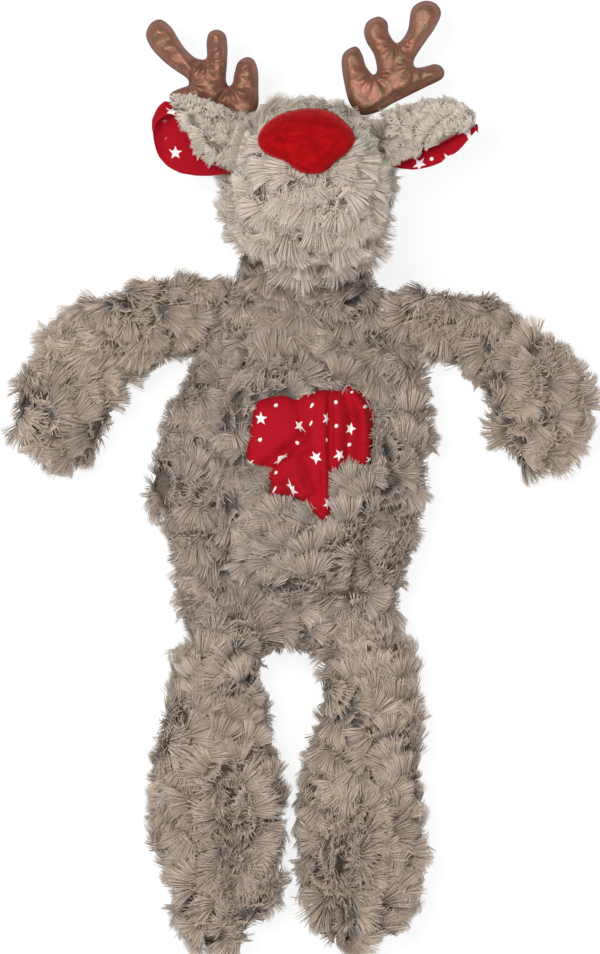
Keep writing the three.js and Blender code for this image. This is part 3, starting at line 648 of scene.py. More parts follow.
def fans(rng, roots, normals, leans, length, fan, flat):
    """The lines of a bed of fans. Each spreads to both sides, parts into locks and curls at its rim."""
    each = (len(roots), 1)
    leans = unit(leans - (leans * normals).sum(1, keepdims=True) * normals)
    n, d, s = normals[:, None], leans[:, None], np.cross(normals, leans)[:, None]
    lengths = length * rng.uniform(0.85, 1.12, each)
    spread, swirl = np.radians(rng.uniform(*fan, each)), rng.normal(0, 0.3, each)
    locks, phase = rng.uniform(1.6, 3.0, each), rng.uniform(0, 2 * math.pi, each)

    def lines(across, layer, reach, marks):
        wave = locks * math.pi * across + phase
        level = layer + 0.2 * np.cos(wave)
        end_turn = (across - 0.55 * np.sin(wave) / (locks * math.pi)) * spread + swirl
        start_rise = np.radians(38 - flat + 34 * layer)
        end_rise = np.radians(-36 - 0.5 * flat + 40 * level)
        long = lengths * (1 - 0.06 * across**2 + 0.04 * np.cos(wave)) * reach
        width = 0.24 * lengths
        places = roots[:, None] + s * (across * width)[..., None] + d * ((0.4 - layer) * width)[..., None]
        turns = 0.5 * across * spread, end_turn
        return follow(places, (start_rise, end_rise), turns, long, (n, d, s), marks)
    return lines, s


def follow(places, rises, turns, reach, frame_of, marks):
    """Lines that start at places and bend from one rise and turn to another, with their way at each point."""
    n, d, s = frame_of
    lines, ways = [places], []
    for first, last in zip(marks[:-1], marks[1:]):
        share = (first + last) / 2
        rise, turn = (start + (end - start) * share for start, end in (rises, turns))
        flat = d * np.cos(turn)[..., None] + s * np.sin(turn)[..., None]
        way = n * np.sin(rise)[..., None] + flat * np.cos(rise)[..., None]
        lines.append(lines[-1] + way * (reach * (last - first))[..., None])
        ways.append(way)
    return np.stack(lines, 2), np.stack([ways[0], *ways], 2)


def tufts(rng, roots, normals, leans, length, fan, strands, thick, flat, tone, marks=STRAND_PLACES):
    """Fans with a blade and this many strands each, as points, faces and map."""
    lines, side = fans(rng, roots, normals, leans, length, fan, flat)
    each, shape = (len(roots), 1), (len(roots), strands)
    shade, tone = rng.uniform(0.1, 0.9, each), tone + rng.normal(0, 0.25, each)
    across = np.tile(np.linspace(-1, 1, BLADE_COLUMNS), each)
    grid = lines(across, np.full(across.shape, 0.1), 1.0, BLADE_PLACES)[0]
    blades = blades_over(grid, normals, shade, tone - 0.1)
    across, layer = rng.uniform(-1, 1, shape), rng.uniform(0.14, 0.8, shape)
    under = strands // UNDER_BLADE
    layer[:, :under] = rng.uniform(-0.22, -0.04, (len(roots), under))
    laid, ways = lines(across, layer, rng.normal(1, 0.035, shape), marks)
    count = len(marks)
    reference = np.broadcast_to(side, (*shape, 3)).reshape(-1, 1, 3)
    laid, ways = laid.reshape(-1, count, 3), ways.reshape(-1, count, 3)
    shades, tones = shade + 0.08 * across + rng.normal(0, 0.03, shape), tone + rng.normal(0, 0.18, shape)
    return blades, strands_over(laid, ways, reference, thick, shades, tones)


def joined(parts):
    """Several meshes, each as points, faces and map, as one."""
    starts = np.cumsum([0] + [len(points) for points, _, _ in parts[:-1]])
    faces = [faces + start for start, (_, faces, _) in zip(starts, parts)]
    return np.vstack([part[0] for part in parts]), np.vstack(faces), np.vstack([part[2] for part in parts])


def bounded(part, shell):
    """A mesh of closed shells of so many points each, cut between shells into pieces of a bounded size."""
    points, faces, uv = part
    shells = len(points) // shell
    sides = len(faces) // shells
    cuts = np.linspace(0, shells, math.ceil(len(faces) / MAX_FACES) + 1).astype(int)
    return [
        (points[a * shell:b * shell], faces[a * sides:b * sides] - a * shell, uv[3 * a * sides:3 * b * sides])
        for a, b in zip(cuts[:-1], cuts[1:])
    ]


def add_pile(
    name, skin, material, seed, length, spacing=SPACING, strands=STRANDS, fan=(32, 85), flat=0.0, thick=THICK,
    keep=None, flow=None,
):
    """The pile on one skin, in pieces of a bounded size: undercoat, and fans as their blades and strands."""
    rng = np.random.default_rng(seed)
    near = wave_field(seed + 1, 60 * MM)

    def bed(gap, short):
        roots, normals = scatter(skin, gap, rng, None if keep is None else lambda p, w: keep(p, w, short))
        noise = near(roots) + 0.8 * rng.normal(size=roots.shape)
        leans = noise if flow is None or short else flow(roots, noise)
        order = np.argsort(-roots[:, 1])
        return roots[order], normals[order], leans[order]

    short = tufts(
        rng, *bed(SHORT_SPACING * spacing, True), SHORT_LENGTH * length, SHORT_FAN, SHORT_STRANDS,
        SHORT_THICK * thick, SHORT_FLAT, SHORT_TONE, SHORT_PLACES,
    )
    beds = bed(spacing, False)
    count = len(beds[0])
    made = []
    for rows in np.array_split(np.arange(count), math.ceil(count * strands / MAX_STRANDS)):
        made.append(tufts(rng, *(part[rows] for part in beds), length, fan, strands, thick, flat, LONG_TONE))
    blades = joined([short[0], *(blades for blades, _ in made)])
    parts = bounded(short[1], 3 * len(SHORT_GIRTHS) + 1)
    parts += bounded(blades, 2 * BLADE_COLUMNS * len(BLADE_PLACES))
    parts += [strands for _, strands in made]
    pieces = []
    for number, (points, faces, uv) in enumerate(parts, 1):
        piece = add_mesh(f"{name}_{number}", points, faces, uv)
        piece.data.materials.append(material)
        pieces.append(piece)
        print(piece.name, len(faces), "faces")
    return pieces


def add_cover(name, skin, *nodes, material=PLUSH_BACKING_SHADE, slot="plush"):
    """The stuffed cover under the pile, which stands for the frame's soft solids."""
    points, faces, _ = skin
    piece = add_mesh(name, lifted(points.copy()), faces)
    piece.data.materials.append(material)
    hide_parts(*nodes)
    return piece


# Outlines that the photograph shows, as pixels, and the flat pieces cut to them


def closed_curve(points, gap):
    """A smooth closed curve through points, as points about this far apart."""
    result = []
    for i in range(len(points)):
        a, b, c, d = (points[(i + k) % len(points)] for k in (-1, 0, 1, 2))
        for s in np.arange(steps := max(1, round(np.linalg.norm(c - b) / gap))) / steps:
            bend = (2 * a - 5 * b + 4 * c - d) * s**2 + (3 * b - a - 3 * c + d) * s**3
            result.append((2 * b + (c - a) * s + bend) / 2)
    return np.array(result)


def depth_within(points, outline):
    """How far points lie within a flat outline, below zero outside it."""
    start, end = outline, np.roll(outline, -1, 0)
    along = end - start
    best = np.full(len(points), np.inf)
    odd = np.zeros(len(points), bool)
    for a, b, way in zip(start, end, along):
        share = np.clip(((points - a) @ way) / (way @ way), 0, 1)
        best = np.minimum(best, np.linalg.norm(points - a - share[:, None] * way, axis=1))
        if a[1] != b[1]:
            crossing = a[0] + (points[:, 1] - a[1]) / (b[1] - a[1]) * way[0]
            odd ^= ((a[1] > points[:, 1]) != (b[1] > points[:, 1])) & (points[:, 0] < crossing)
    return np.where(odd, best, -best)


def filled(outline, gap):
    """Points and triangles that fill a flat outline, and how deep each point lies in it."""
    low, high = outline.min(0), outline.max(0)
    rows = np.arange(low[1], high[1], gap * 0.866)
    columns = np.arange(low[0] - gap, high[0], gap)
    grid = np.array([(x + (i % 2) * gap / 2, y) for i, y in enumerate(rows) for x in columns])
    points = np.vstack([outline, grid[depth_within(grid, outline) > 0.6 * gap]]) / MM
    loop = list(range(len(outline)))
    made = delaunay_2d_cdt([Vector(p) for p in points], [], [loop], 1, 1e-4)
    points = np.array([(p.x, p.y) for p in made[0]]) * MM
    faces = np.array(made[2])
    a, b, c = (points[faces[:, k]] for k in range(3))
    turned = (b - a)[:, 0] * (c - a)[:, 1] - (b - a)[:, 1] * (c - a)[:, 0] < 0
    faces[turned] = faces[turned][:, ::-1]
    depth = depth_within(points, outline)
    return points, faces, np.where(np.abs(depth) < 1e-7, 0, np.maximum(depth, 0))


def eased(values, faces, times, held):
    """Values at a mesh's points, each drawn towards its neighbours' mean, except where they are held."""
    pairs = np.vstack([faces[:, [0, 1]], faces[:, [1, 2]], faces[:, [2, 0]]])
    pairs = np.unique(np.sort(pairs, 1), axis=0)
    count = np.bincount(pairs.ravel(), minlength=len(values))
    for _ in range(times):
        total = np.bincount(pairs[:, 0], values[pairs[:, 1]], len(values))
        total += np.bincount(pairs[:, 1], values[pairs[:, 0]], len(values))
        values = np.where(held, values, (values + total / np.maximum(count, 1)) / 2)
    return values


# The toy's covers

DEPTH = 8 * MM
ARM_DEPTH = 8.5 * MM
SEAM = 30 * MM
GROOVE = 2.5 * MM

# The middle lines of the covers: heights above the table, and places across where they aren't the frame's
TORSO_MIDDLE, FOOT_MIDDLE, ARM_MIDDLE = 23 * MM, 24 * MM, 20 * MM
HIPS_ACROSS, CROWN_ACROSS = -1.5 * MM, 9 * MM
CHIN_MIDDLE, CROWN_MIDDLE = 32 * MM, 40 * MM
BELLY_SPOT, BELLY_FOOT, BELLY_HOLD = (2 * MM, -4 * MM), 28 * MM, 20 * MM
MUZZLE_FOOT = 60 * MM
LEG_ROOT = 14 * MM
ARM_END = 29 * MM

hip_y, neck_y = HIPS["left"][1], NECK[1]
torso_long = neck_y - hip_y
torso_skin = tube(
    ["torso"], straight([HIPS_ACROSS, hip_y, TORSO_MIDDLE], [NECK[0], neck_y, TORSO_MIDDLE]), -0.02, 1.06,
    (SEAM / torso_long, 1 - SEAM / torso_long), DEPTH, rings=44, steps=56, narrow=(1.0, 0.7),
    rounds=(20 * MM, 12 * MM),
)

# The stitched line that parts each foot's two toes, from its upper end to its lower
CLEFTS = {"left": ((228, 782), (236, 925)), "right": ((351, 834), (333, 925))}
CLEFT_HEIGHT = 45 * MM
CLEFT_DEEP = 13 * MM
CLEFT_WIDE = 7 * MM


def off_line(points, a, b):
    """From the nearest place on the stretch between a and b to each point."""
    share = np.clip(((points - a) @ (b - a)) / ((b - a) @ (b - a)), 0, 1)
    return points - a - share[:, None] * (b - a)


def from_cleft(side, places):
    """How far places lie to the side of a foot's cleft, and the way from it."""
    away = off_line(places[:, :2], *spots(CLEFTS[side], CLEFT_HEIGHT))
    return np.linalg.norm(away, axis=1), np.column_stack([unit(away), np.zeros(len(away))])


leg_skins, arm_skins = {}, {}
for side, hip in HIPS.items():
    low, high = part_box(f"leg_{side}")
    foot = [(low[0] + high[0]) / 2, low[1], FOOT_MIDDLE]
    leg_long = hip[1] - low[1]
    points, faces, normals = tube(
        [f"leg_{side}"], straight([hip[0], hip[1], TORSO_MIDDLE], foot), -LEG_ROOT / leg_long, 1,
        (SEAM / leg_long, 0.995), DEPTH, rings=40, steps=48, rounds=(10 * MM, 0),
    )
    sunk = np.exp(-((from_cleft(side, points)[0] / CLEFT_WIDE) ** 2)) * np.clip(normals[:, 2], 0, 1)
    points = points - UP * (CLEFT_DEEP * sunk)[:, None]
    leg_skins[side] = points, faces, normals_of(points, faces)

for side, shoulder in SHOULDERS.items():
    low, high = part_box(f"arm_{side}")
    reach = abs((low if SIDES[side] < 0 else high)[0] - shoulder[0]) - ARM_END
    root = np.array([shoulder[0], shoulder[1], ARM_MIDDLE])
    middle = quarter_round(root, SIDES[side], reach, shoulder[1] - low[1])
    arm_skins[side] = tube(
        [f"arm_{side}"], middle, -0.14, 1.0, (0.22, 0.995), ARM_DEPTH, rings=30, narrow=(0.95, 1.0),
        rounds=(6 * MM, 0),
    )

head_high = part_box("head")[1]
head_skin = tube(
    ["head"], straight([NECK[0], neck_y, CHIN_MIDDLE], [CROWN_ACROSS, head_high[1], CROWN_MIDDLE]), -0.06, 1,
    (SEAM / (head_high[1] - neck_y), 0.99), DEPTH, rings=34, steps=48, narrow=(0.85, 1.0),
)

muzzle_low, muzzle_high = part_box("muzzle")
muzzle_x, muzzle_y, _ = (muzzle_low + muzzle_high) / 2
muzzle_skin = tube(
    ["muzzle"], straight([muzzle_x, muzzle_y, MUZZLE_FOOT], [muzzle_x, muzzle_y, muzzle_high[2]]), 0, 1,
    (0, 0.995), DEPTH, rings=24, steps=48,
)

belly_low, belly_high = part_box("belly_panel")
belly_skin = tube(
    ["belly_panel"], straight([*BELLY_SPOT, BELLY_FOOT], [*BELLY_SPOT, belly_high[2]]), 0, 1,
    (BELLY_HOLD / (belly_high[2] - BELLY_FOOT), 0.99), DEPTH, rings=24, steps=64, times=3,
)

# The printed patch, as the camera sees its edge at this height
PATCH_HEIGHT = 60 * MM
PATCH_PIXELS = [
    (257, 402), (277, 396), (286, 396), (295, 399), (306, 394), (322, 390), (338, 390), (347, 385),
    (355, 385), (366, 394), (375, 411), (375, 435), (371, 459), (362, 465), (347, 465), (338, 469),
    (334, 476), (332, 495), (331, 510), (323, 520), (308, 507), (295, 498), (282, 495), (273, 496),
    (270, 499), (271, 484), (269, 479), (257, 468), (247, 461), (247, 451), (248, 440), (252, 419),
]
patch_outline = closed_curve(spots(PATCH_PIXELS, PATCH_HEIGHT), 1.5 * MM)

# Which tufts are kept, and how they are combed. A seam's flow reaches so far along and to each side of it.
in_torso, in_belly = depth_in(torso_skin), depth_in(belly_skin)
in_head, in_muzzle = depth_in(head_skin), depth_in(muzzle_skin)
BELLY_Y = (belly_low[1] + belly_high[1]) / 2
SKIN_GAP = 1.5 * MM
SEAM_SIDE = 48 * MM
PATCH_REACH = 16 * MM
BELLY_FOOT_REACH = 34 * MM
SEAM_REACH = 38 * MM
SEAM_HALF_WIDTH = 50 * MM
RIGHTWARD, UPWARD = np.array([1.0, 0, 0]), np.array([0, 1.0, 0])

# How strongly tufts are combed, against a stray lean of 1
SEAM_PUSH, PATCH_PUSH, BELLY_FOOT_PUSH, CLEFT_PUSH = 1.2, 1.1, 1.6, 3.4
FACE_STRAY, EAR_STRAY = 0.28, 0.8


def clear_of(*others, groove=None):
    """A test that keeps tufts off what lies in other skins, and long ones off the groove beside the belly."""
    def keep(places, ways, short):
        held = np.ones(len(places), bool)
        for other in others:
            limit = SKIN_GAP
            if groove and not short:
                limit = np.where(np.abs(places[:, 1] - BELLY_Y) < SEAM_SIDE, -groove, limit)
            held &= other(places) < limit
        return held
    return keep


def off_cloth(roots, noise):
    """Combs the tufts round the patch away from it, and those at the belly's lower edge downwards."""
    step = 0.5 * MM
    here = depth_within(roots[:, :2], patch_outline)
    beside, above = (depth_within(roots[:, :2] + push, patch_outline) for push in ([step, 0], [0, step]))
    slope = np.column_stack([(beside - here) / step, (above - here) / step, 0 * here])
    near = np.clip(1 + here / PATCH_REACH, 0, 1)
    noise = unit(noise)
    onto = np.maximum((noise * slope).sum(1) + 0.6 * near, 0) * near
    foot = np.clip(1 - (roots[:, 1] - belly_low[1]) / BELLY_FOOT_REACH, 0, 1)
    return noise - (PATCH_PUSH * onto)[:, None] * slope - (BELLY_FOOT_PUSH * foot)[:, None] * UPWARD


def off_patch(places, ways, short):
    """Keeps belly tufts off the other skins and out from under the patch."""
    under = depth_within(places[:, :2], patch_outline) > (0 if short else -1 * MM)
    return clear_of(in_torso, groove=GROOVE)(places, ways, short) & ~(under & (ways[:, 2] > 0.3))


def over_seams(*seams):
    """A flow that combs the tufts near a seam across it, so that the two sides hide its fold."""
    def flow(roots, noise):
        leans = unit(noise)
        for spot, way in seams:
            away = (roots - spot) * [1, 1, 0]
            along = away @ way
            across = np.linalg.norm(away - along[:, None] * way, axis=1)
            near = np.clip(1 - np.abs(along) / SEAM_REACH, 0, 1) * (across < SEAM_HALF_WIDTH)
            leans = leans + SEAM_PUSH * near[:, None] * way
        return leans
    return flow


torso_flow = over_seams(
    (NECK, -0.5 * UPWARD), *((hip, -0.6 * UPWARD) for hip in HIPS.values()),
    *((shoulder, SIDES[side] * RIGHTWARD) for side, shoulder in SHOULDERS.items()),
)
torso_cover = add_cover("torso_cover", torso_skin, "torso", "torso_filling")
belly_cover = add_cover("belly_cover", belly_skin, "belly_panel")
torso_pile = add_pile(
    "torso_pile", torso_skin, PLUSH, 11, LENGTH, keep=clear_of(in_belly, groove=GROOVE), flow=torso_flow,
)
belly_pile = add_pile("belly_pile", belly_skin, PLUSH, 61, 0.94 * LENGTH, keep=off_patch, flow=off_cloth)
for piece in [torso_cover, belly_cover, *torso_pile, *belly_pile]:
    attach(piece, "torso")

# How far the pile is combed apart beside a cleft, and how far from it undercoat and long tufts stay away
PARTED_REACH = 15 * MM
CLEFT_SHORT, CLEFT_LONG = 2.5 * MM, 6.5 * MM
FOOT_FRONT = 20 * MM


def out_of_cleft(side, flow):
    """A flow that also parts the pile along a foot's cleft."""
    def parted(roots, noise):
        far, away = from_cleft(side, roots)
        near = np.exp(-((far / PARTED_REACH) ** 2)) * (roots[:, 2] > FOOT_FRONT)
        return flow(roots, noise) + CLEFT_PUSH * away * near[:, None]
    return parted


def beside_cleft(side):
    """A test that leaves a foot's cleft bare but for a little undercoat."""
    def keep(places, ways, short):
        inside = from_cleft(side, places)[0] < (CLEFT_SHORT if short else CLEFT_LONG)
        inside &= places[:, 2] > FOOT_FRONT
        return clear_of(in_torso)(places, ways, short) & ~inside
    return keep


def add_limb(limb, skin, seed, keep, flow):
    """The cover and pile of an arm or a leg, which reach over the seam that they start from."""
    cover = add_cover(f"{limb}_cover", skin, limb, f"{limb}_filling")
    # The limbs take the lighter copy of the plush, painted light
    pile = add_pile(f"{limb}_pile", skin, LIT_LIMB_PLUSH, seed, LENGTH, keep=keep, flow=flow)
    for piece in [cover, *pile]:
        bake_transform(piece)


for side, hip in HIPS.items():
    combed = out_of_cleft(side, over_seams((hip, UPWARD)))
    add_limb(
        f"leg_{side}", leg_skins[side], 21 + SIDES[side], beside_cleft(side), combed,
    )

for side, shoulder in SHOULDERS.items():
    outward = SIDES[side] * RIGHTWARD
    combed = over_seams((shoulder, -outward))
    add_limb(
        f"arm_{side}", arm_skins[side], 31 + SIDES[side],
        clear_of(in_torso), combed,
    )

# The neck, up to where the chin hides it, has the torso's darker plush. Its undercoat and tufts start below
# the seam.
CHIN_LINE = NECK[1] + 22 * MM
NECK_SHORT, NECK_LONG = 14 * MM, 5 * MM


def above_neck(places, ways, short):
    """Keeps the head's lighter tufts off its neck."""
    return clear_of(in_torso, in_muzzle)(places, ways, short) & (places[:, 1] > CHIN_LINE)


def on_neck(places, ways, short):
    """Keeps the neck's tufts between the torso's and the head's."""
    low = NECK[1] - (NECK_SHORT if short else NECK_LONG)
    along = (places[:, 1] > low) & (places[:, 1] <= CHIN_LINE)
    return clear_of(in_torso, in_muzzle)(places, ways, short) & along


head_cover = add_cover("head_cover", head_skin, "head", "head_filling", material=FACE_BACKING_SHADE)
head_pile = add_pile("head_pile", head_skin, HEAD_PLUSH, 41, 17 * MM, keep=above_neck)
neck_pile = add_pile(
    "neck_pile", head_skin, PLUSH, 45, 16 * MM, keep=on_neck, flow=over_seams((NECK, -1.1 * UPWARD)),
)
for piece in [head_cover, *head_pile, *neck_pile]:
    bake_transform(piece)

# Where the face's pile springs from, under the nose
FACE_MIDDLE_PIXEL = (311, 165)


def from_nose(roots, noise):
    """Combs the face's pile outward from a point under the nose."""
    centre = np.array([*spots([FACE_MIDDLE_PIXEL], muzzle_high[2])[0], muzzle_high[2]])
    return unit(roots - centre) + FACE_STRAY * unit(noise)


def above_chin(places, ways, short):
    """Keeps the muzzle's tufts off the head, and its long ones off the chin's lowest rim."""
    return clear_of(in_head)(places, ways, short) & (short | (ways[:, 1] > -0.8))


muzzle_cover = add_cover("muzzle_cover", muzzle_skin, "muzzle", material=FACE_BACKING_SHADE, slot="face_plush")
muzzle_pile = add_pile(
    "muzzle_pile", muzzle_skin, FACE_PLUSH, 51, 18 * MM, spacing=10.5 * MM, fan=(36, 80), flat=8,
    keep=above_chin, flow=from_nose,
)
for piece in [muzzle_cover, *muzzle_pile]:
    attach(piece, "head")

# The patch: one cut of cotton, tucked and puckered where it is sewn to the belly


def crease(points, start, end, width):
    """How near points lie to a stretch of line between two pixels, from 1 on it to 0 far off."""
    far = np.linalg.norm(off_line(points, *spots([start, end], PATCH_HEIGHT)), axis=1)
    return np.exp(-((far / width) ** 2))


def dome(depth, radius):
    """How high a form stands that rounds up over this radius from its edge, from 0 to 1."""
    return np.sqrt(1 - (1 - np.clip(depth / radius, 0, 1)) ** 2)


# The patch's folds: the two ends of each as pixels, and in mm its width and how deep or high it is
PATCH_VALLEYS = [
    ((256, 474), (286, 452), 3.6, 5.6), ((286, 452), (306, 434), 3.2, 3.6),
    ((329.5, 392), (330.5, 512), 1.6, 4.6), ((353, 418), (347, 468), 3.6, 5.0),
    ((297, 399), (305, 432), 2.6, 2.6), ((303, 455), (320, 492), 4.0, 3.0),
    ((345, 389), (352, 418), 2.6, 2.6), ((371, 447), (338, 453), 2.2, 1.8),
    ((336, 425), (345, 445), 3.0, 1.4),
]
PATCH_RIDGES = [
    ((324.5, 394), (325.5, 508), 2.6, 3.0), ((266, 412), (290, 430), 5.5, 2.6),
    ((314, 402), (317, 445), 4.0, 2.0), ((363, 402), (366, 455), 3.6, 3.4),
    ((276, 468), (308, 446), 2.6, 3.0), ((284, 490), (306, 470), 4.2, 2.2),
    ((337, 400), (340, 450), 3.4, 1.6),
]
PATCH_EDGE, PATCH_CROWN, PATCH_DOME = 2.9 * MM, 4.6 * MM, 9 * MM
PATCH_WAVE, PATCH_WAVE_HIGH = 13 * MM, 0.2 * MM
PATCH_LEAST, PATCH_LIFT = 0.8 * MM, 1.5 * MM
PATCH_THICK = 0.7 * MM
PATCH_GAP = 1.1 * MM
DROP_FROM = 200 * MM


def patch_rise(places):
    """How high the patch's cloth stands over the belly's skin: a low cushion with its folds."""
    depth = np.maximum(depth_within(places, patch_outline), 0)
    rise = PATCH_CROWN * dome(depth, PATCH_DOME) + PATCH_EDGE
    for start, end, width, deep in PATCH_VALLEYS:
        rise -= crease(places, start, end, width * MM) * deep * MM
    for start, end, width, high in PATCH_RIDGES:
        rise += crease(places, start, end, width * MM) * high * MM
    rise += wave_field(5, PATCH_WAVE)(np.column_stack([places, 0 * depth]))[:, 0] * PATCH_WAVE_HIGH
    return np.maximum(rise, PATCH_LEAST) + PATCH_LIFT


def along_cloth(places, centre, axis, steps=20):
    """How far places lie from a centre along one axis, measured on the folded cloth."""
    away = places[:, axis] - centre[axis]
    run, last = np.zeros(len(places)), None
    for share in np.linspace(0, 1, steps + 1):
        spot = places.copy()
        spot[:, axis] = centre[axis] + away * share
        level = patch_rise(spot)
        if last is not None:
            run += np.hypot(away / steps, level - last)
        last = level
    return run * np.sign(away)


def dress_cloth(piece, flat, faces):
    """Gives a closed cloth its print, laid out on the flat cut of both sides."""
    places = np.vstack([flat, flat])[faces.ravel()]
    piece.data.uv_layers.new(name="cloth").uv.foreach_set("vector", places.astype(np.float32).ravel())
    piece.data.materials.append(PRINT)


def add_patch():
    """The patch as one closed cloth over the belly's skin."""
    points, faces, depth = filled(patch_outline, PATCH_GAP)
    tree = BVHTree.FromPolygons(belly_skin[0].tolist(), belly_skin[1].tolist())
    drop = [tree.ray_cast(Vector((x, y, DROP_FROM)), Vector((0, 0, -1)))[0].z for x, y in points]
    z = eased(np.array(drop) + patch_rise(points), faces, 2, depth == 0)
    top = np.column_stack([points, z])
    count = len(top)
    pairs = np.vstack([faces[:, [0, 1]], faces[:, [1, 2]], faces[:, [2, 0]]]).tolist()
    keys = {tuple(pair) for pair in pairs}
    start, end = np.array([pair for pair in pairs if (pair[1], pair[0]) not in keys]).T
    sides = np.vstack([
        np.column_stack([end, start, start + count]), np.column_stack([end, start + count, end + count]),
    ])
    all_faces = np.vstack([faces, faces[:, ::-1] + count, sides])
    piece = add_mesh("belly_patch_cloth", np.vstack([top, top - UP * PATCH_THICK]), all_faces)
    centre = points.mean(0)
    flat = np.column_stack([along_cloth(points, centre, axis) for axis in (0, 1)])
    dress_cloth(piece, flat, all_faces)
    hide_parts("belly_patch")
    # The cut is larger than its outline by what its folds take up
    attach(piece, "torso")


add_patch()

# The antlers: two cuts of foil cloth sewn round their edge, turned and filled. Valleys are where two tines
# meet, and creases are lines of folds, with their width and depth in mm.
ANTLERS = {
    "left": {
        "pixels": [
            (229, 113), (218, 109), (206, 105), (192, 102), (180, 102), (172, 101), (169.5, 96),
            (173, 91.5), (181, 88), (188.5, 85), (187, 78.5), (177, 71.5), (165, 62.5), (152, 49),
            (146, 35), (151, 23), (161, 19.5), (171, 27), (178, 38), (185, 48.5), (195, 57.5),
            (204, 59.5), (207, 56), (206.5, 43), (209, 33), (217, 29.5), (225, 34), (227.5, 46),
            (227, 65), (226, 79), (228.5, 86), (232.5, 83), (234, 75), (237, 64), (241, 59.5),
            (247.5, 57), (254, 60), (258, 71), (258.5, 90), (258, 106), (250, 119), (239, 121),
        ],
        "valleys": [(189, 84), (207, 60), (228.5, 87)],
        "creases": [
            ((190, 80), (203, 62), 1.1, 1.6), ((215, 104), (226, 87), 1.0, 1.4),
            ((207, 58), (216, 64), 1.0, 1.2), ((219, 84), (228, 86), 0.9, 1.0),
            ((227, 92), (229, 86), 1.0, 1.2),
        ],
    },
    "right": {
        "pixels": [
            (350, 104), (344, 82), (341.5, 61), (345.5, 51), (356, 46.5), (362, 54), (366, 66),
            (373, 74.5), (377, 70), (374, 55), (366.5, 42), (364, 31), (368, 21), (379, 16.5), (387, 22),
            (389, 33), (395.5, 42.5), (402, 39.5), (408, 29), (411, 11), (417, 3.5), (427, 0.6),
            (437, 4.5), (441, 14), (435, 28), (426, 41), (414.5, 59), (415.5, 67), (425, 66.5), (435, 64),
            (442, 67), (444.5, 73), (441, 79.5), (425, 87.5), (408, 96), (392, 104), (378, 112),
            (361, 115),
        ],
        "valleys": [(373, 75.5), (395.5, 43.5), (413, 65)],
        "creases": [
            ((438, 76.5), (397, 95), 1.3, 2.6), ((375, 74), (388, 73), 1.0, 1.5),
            ((367, 52), (376, 72), 1.2, 1.2), ((397, 95), (374, 112), 1.8, 1.6),
            ((395, 44), (397, 52), 1.0, 0.9),
        ],
    },
}
ANTLER_HEIGHT = 40 * MM
OUTLINE_GAP, ANTLER_GAP = 1.1 * MM, 1.0 * MM
ANTLER_CROWN, ANTLER_ROUND = 6.2 * MM, 6.5 * MM
ANTLER_LEAST, ANTLER_BACK = 0.35 * MM, 0.9
VALLEY_EDGE, CREASE_EDGE = 2 * MM, 1.5 * MM
WAVE_LONG, WAVE_HIGH, WAVE_EDGE = 9 * MM, 0.17 * MM, 4 * MM
VALLEY_FOLDS, VALLEY_TURN, VALLEY_DEEP, VALLEY_REACH = 9, 1.3, 1.0 * MM, 9 * MM
PUCKERS, PUCKER_HIGH, PUCKER_INSET, PUCKER_WIDE = 90, 0.22 * MM, 1.3 * MM, 1.2 * MM


def add_pad(name, node, points, faces, depth, front, back):
    """A padded piece that stands for a node, closed over a flat outline between two heights of its points."""
    inner = np.flatnonzero(depth > 0)
    back_of = np.arange(len(points))
    back_of[inner] = len(points) + np.arange(len(inner))
    shell = np.vstack([np.column_stack([points, front]), np.column_stack([points, back])[inner]])
    piece = add_mesh(name, shell, np.vstack([faces, back_of[faces[:, ::-1]]]))
    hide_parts(node)
    return piece


def add_antler(side):
    """One antler, pillowed over its outline, folded where tines meet and puckered along its seam."""
    shape, name = ANTLERS[side], f"antler_{side}"
    outline = closed_curve(spots(shape["pixels"], ANTLER_HEIGHT), OUTLINE_GAP)
    points, faces, depth = filled(outline, ANTLER_GAP)
    rise = eased(ANTLER_CROWN * dome(depth, ANTLER_ROUND), faces, 8, depth == 0)
    for valley in spots(shape["valleys"], ANTLER_HEIGHT):
        x, y = (points - valley).T
        folds = VALLEY_DEEP * (0.6 + np.cos(VALLEY_FOLDS * np.arctan2(y, x) + VALLEY_TURN))
        rise -= folds * np.exp(-((np.hypot(x, y) / VALLEY_REACH) ** 2)) * np.clip(depth / VALLEY_EDGE, 0, 1)
    for start, end, width, deep in shape["creases"]:
        rise -= crease(points, start, end, width * MM) * deep * MM * np.clip(depth / CREASE_EDGE, 0, 1)
    waves = wave_field(71 + SIDES[side], WAVE_LONG)(np.column_stack([points, 0 * depth]))
    rise += waves[:, 0] * WAVE_HIGH * np.clip(depth / WAVE_EDGE, 0, 1)
    puckers = np.sin(np.arctan2(*(points - points.mean(0)).T) * PUCKERS) * PUCKER_HIGH
    rise += puckers * np.exp(-((depth - PUCKER_INSET) / PUCKER_WIDE) ** 2) * (depth > 0)
    rise = np.where(depth > 0, np.maximum(rise, ANTLER_LEAST), 0)
    front, back = ANTLER_HEIGHT + rise, ANTLER_HEIGHT - ANTLER_BACK * rise
    piece = add_pad(f"{name}_foil", name, points, faces, depth, front, back)
    layer = piece.data.attributes.new("depth", "FLOAT", "POINT")
    both = np.concatenate([depth, depth[depth > 0]]) / FOIL_DEPTH
    layer.data.foreach_set("value", both.astype(np.float32))
    piece.data.materials.append(FOIL)
    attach(piece, name)


for side in SIDES:
    add_antler(side)

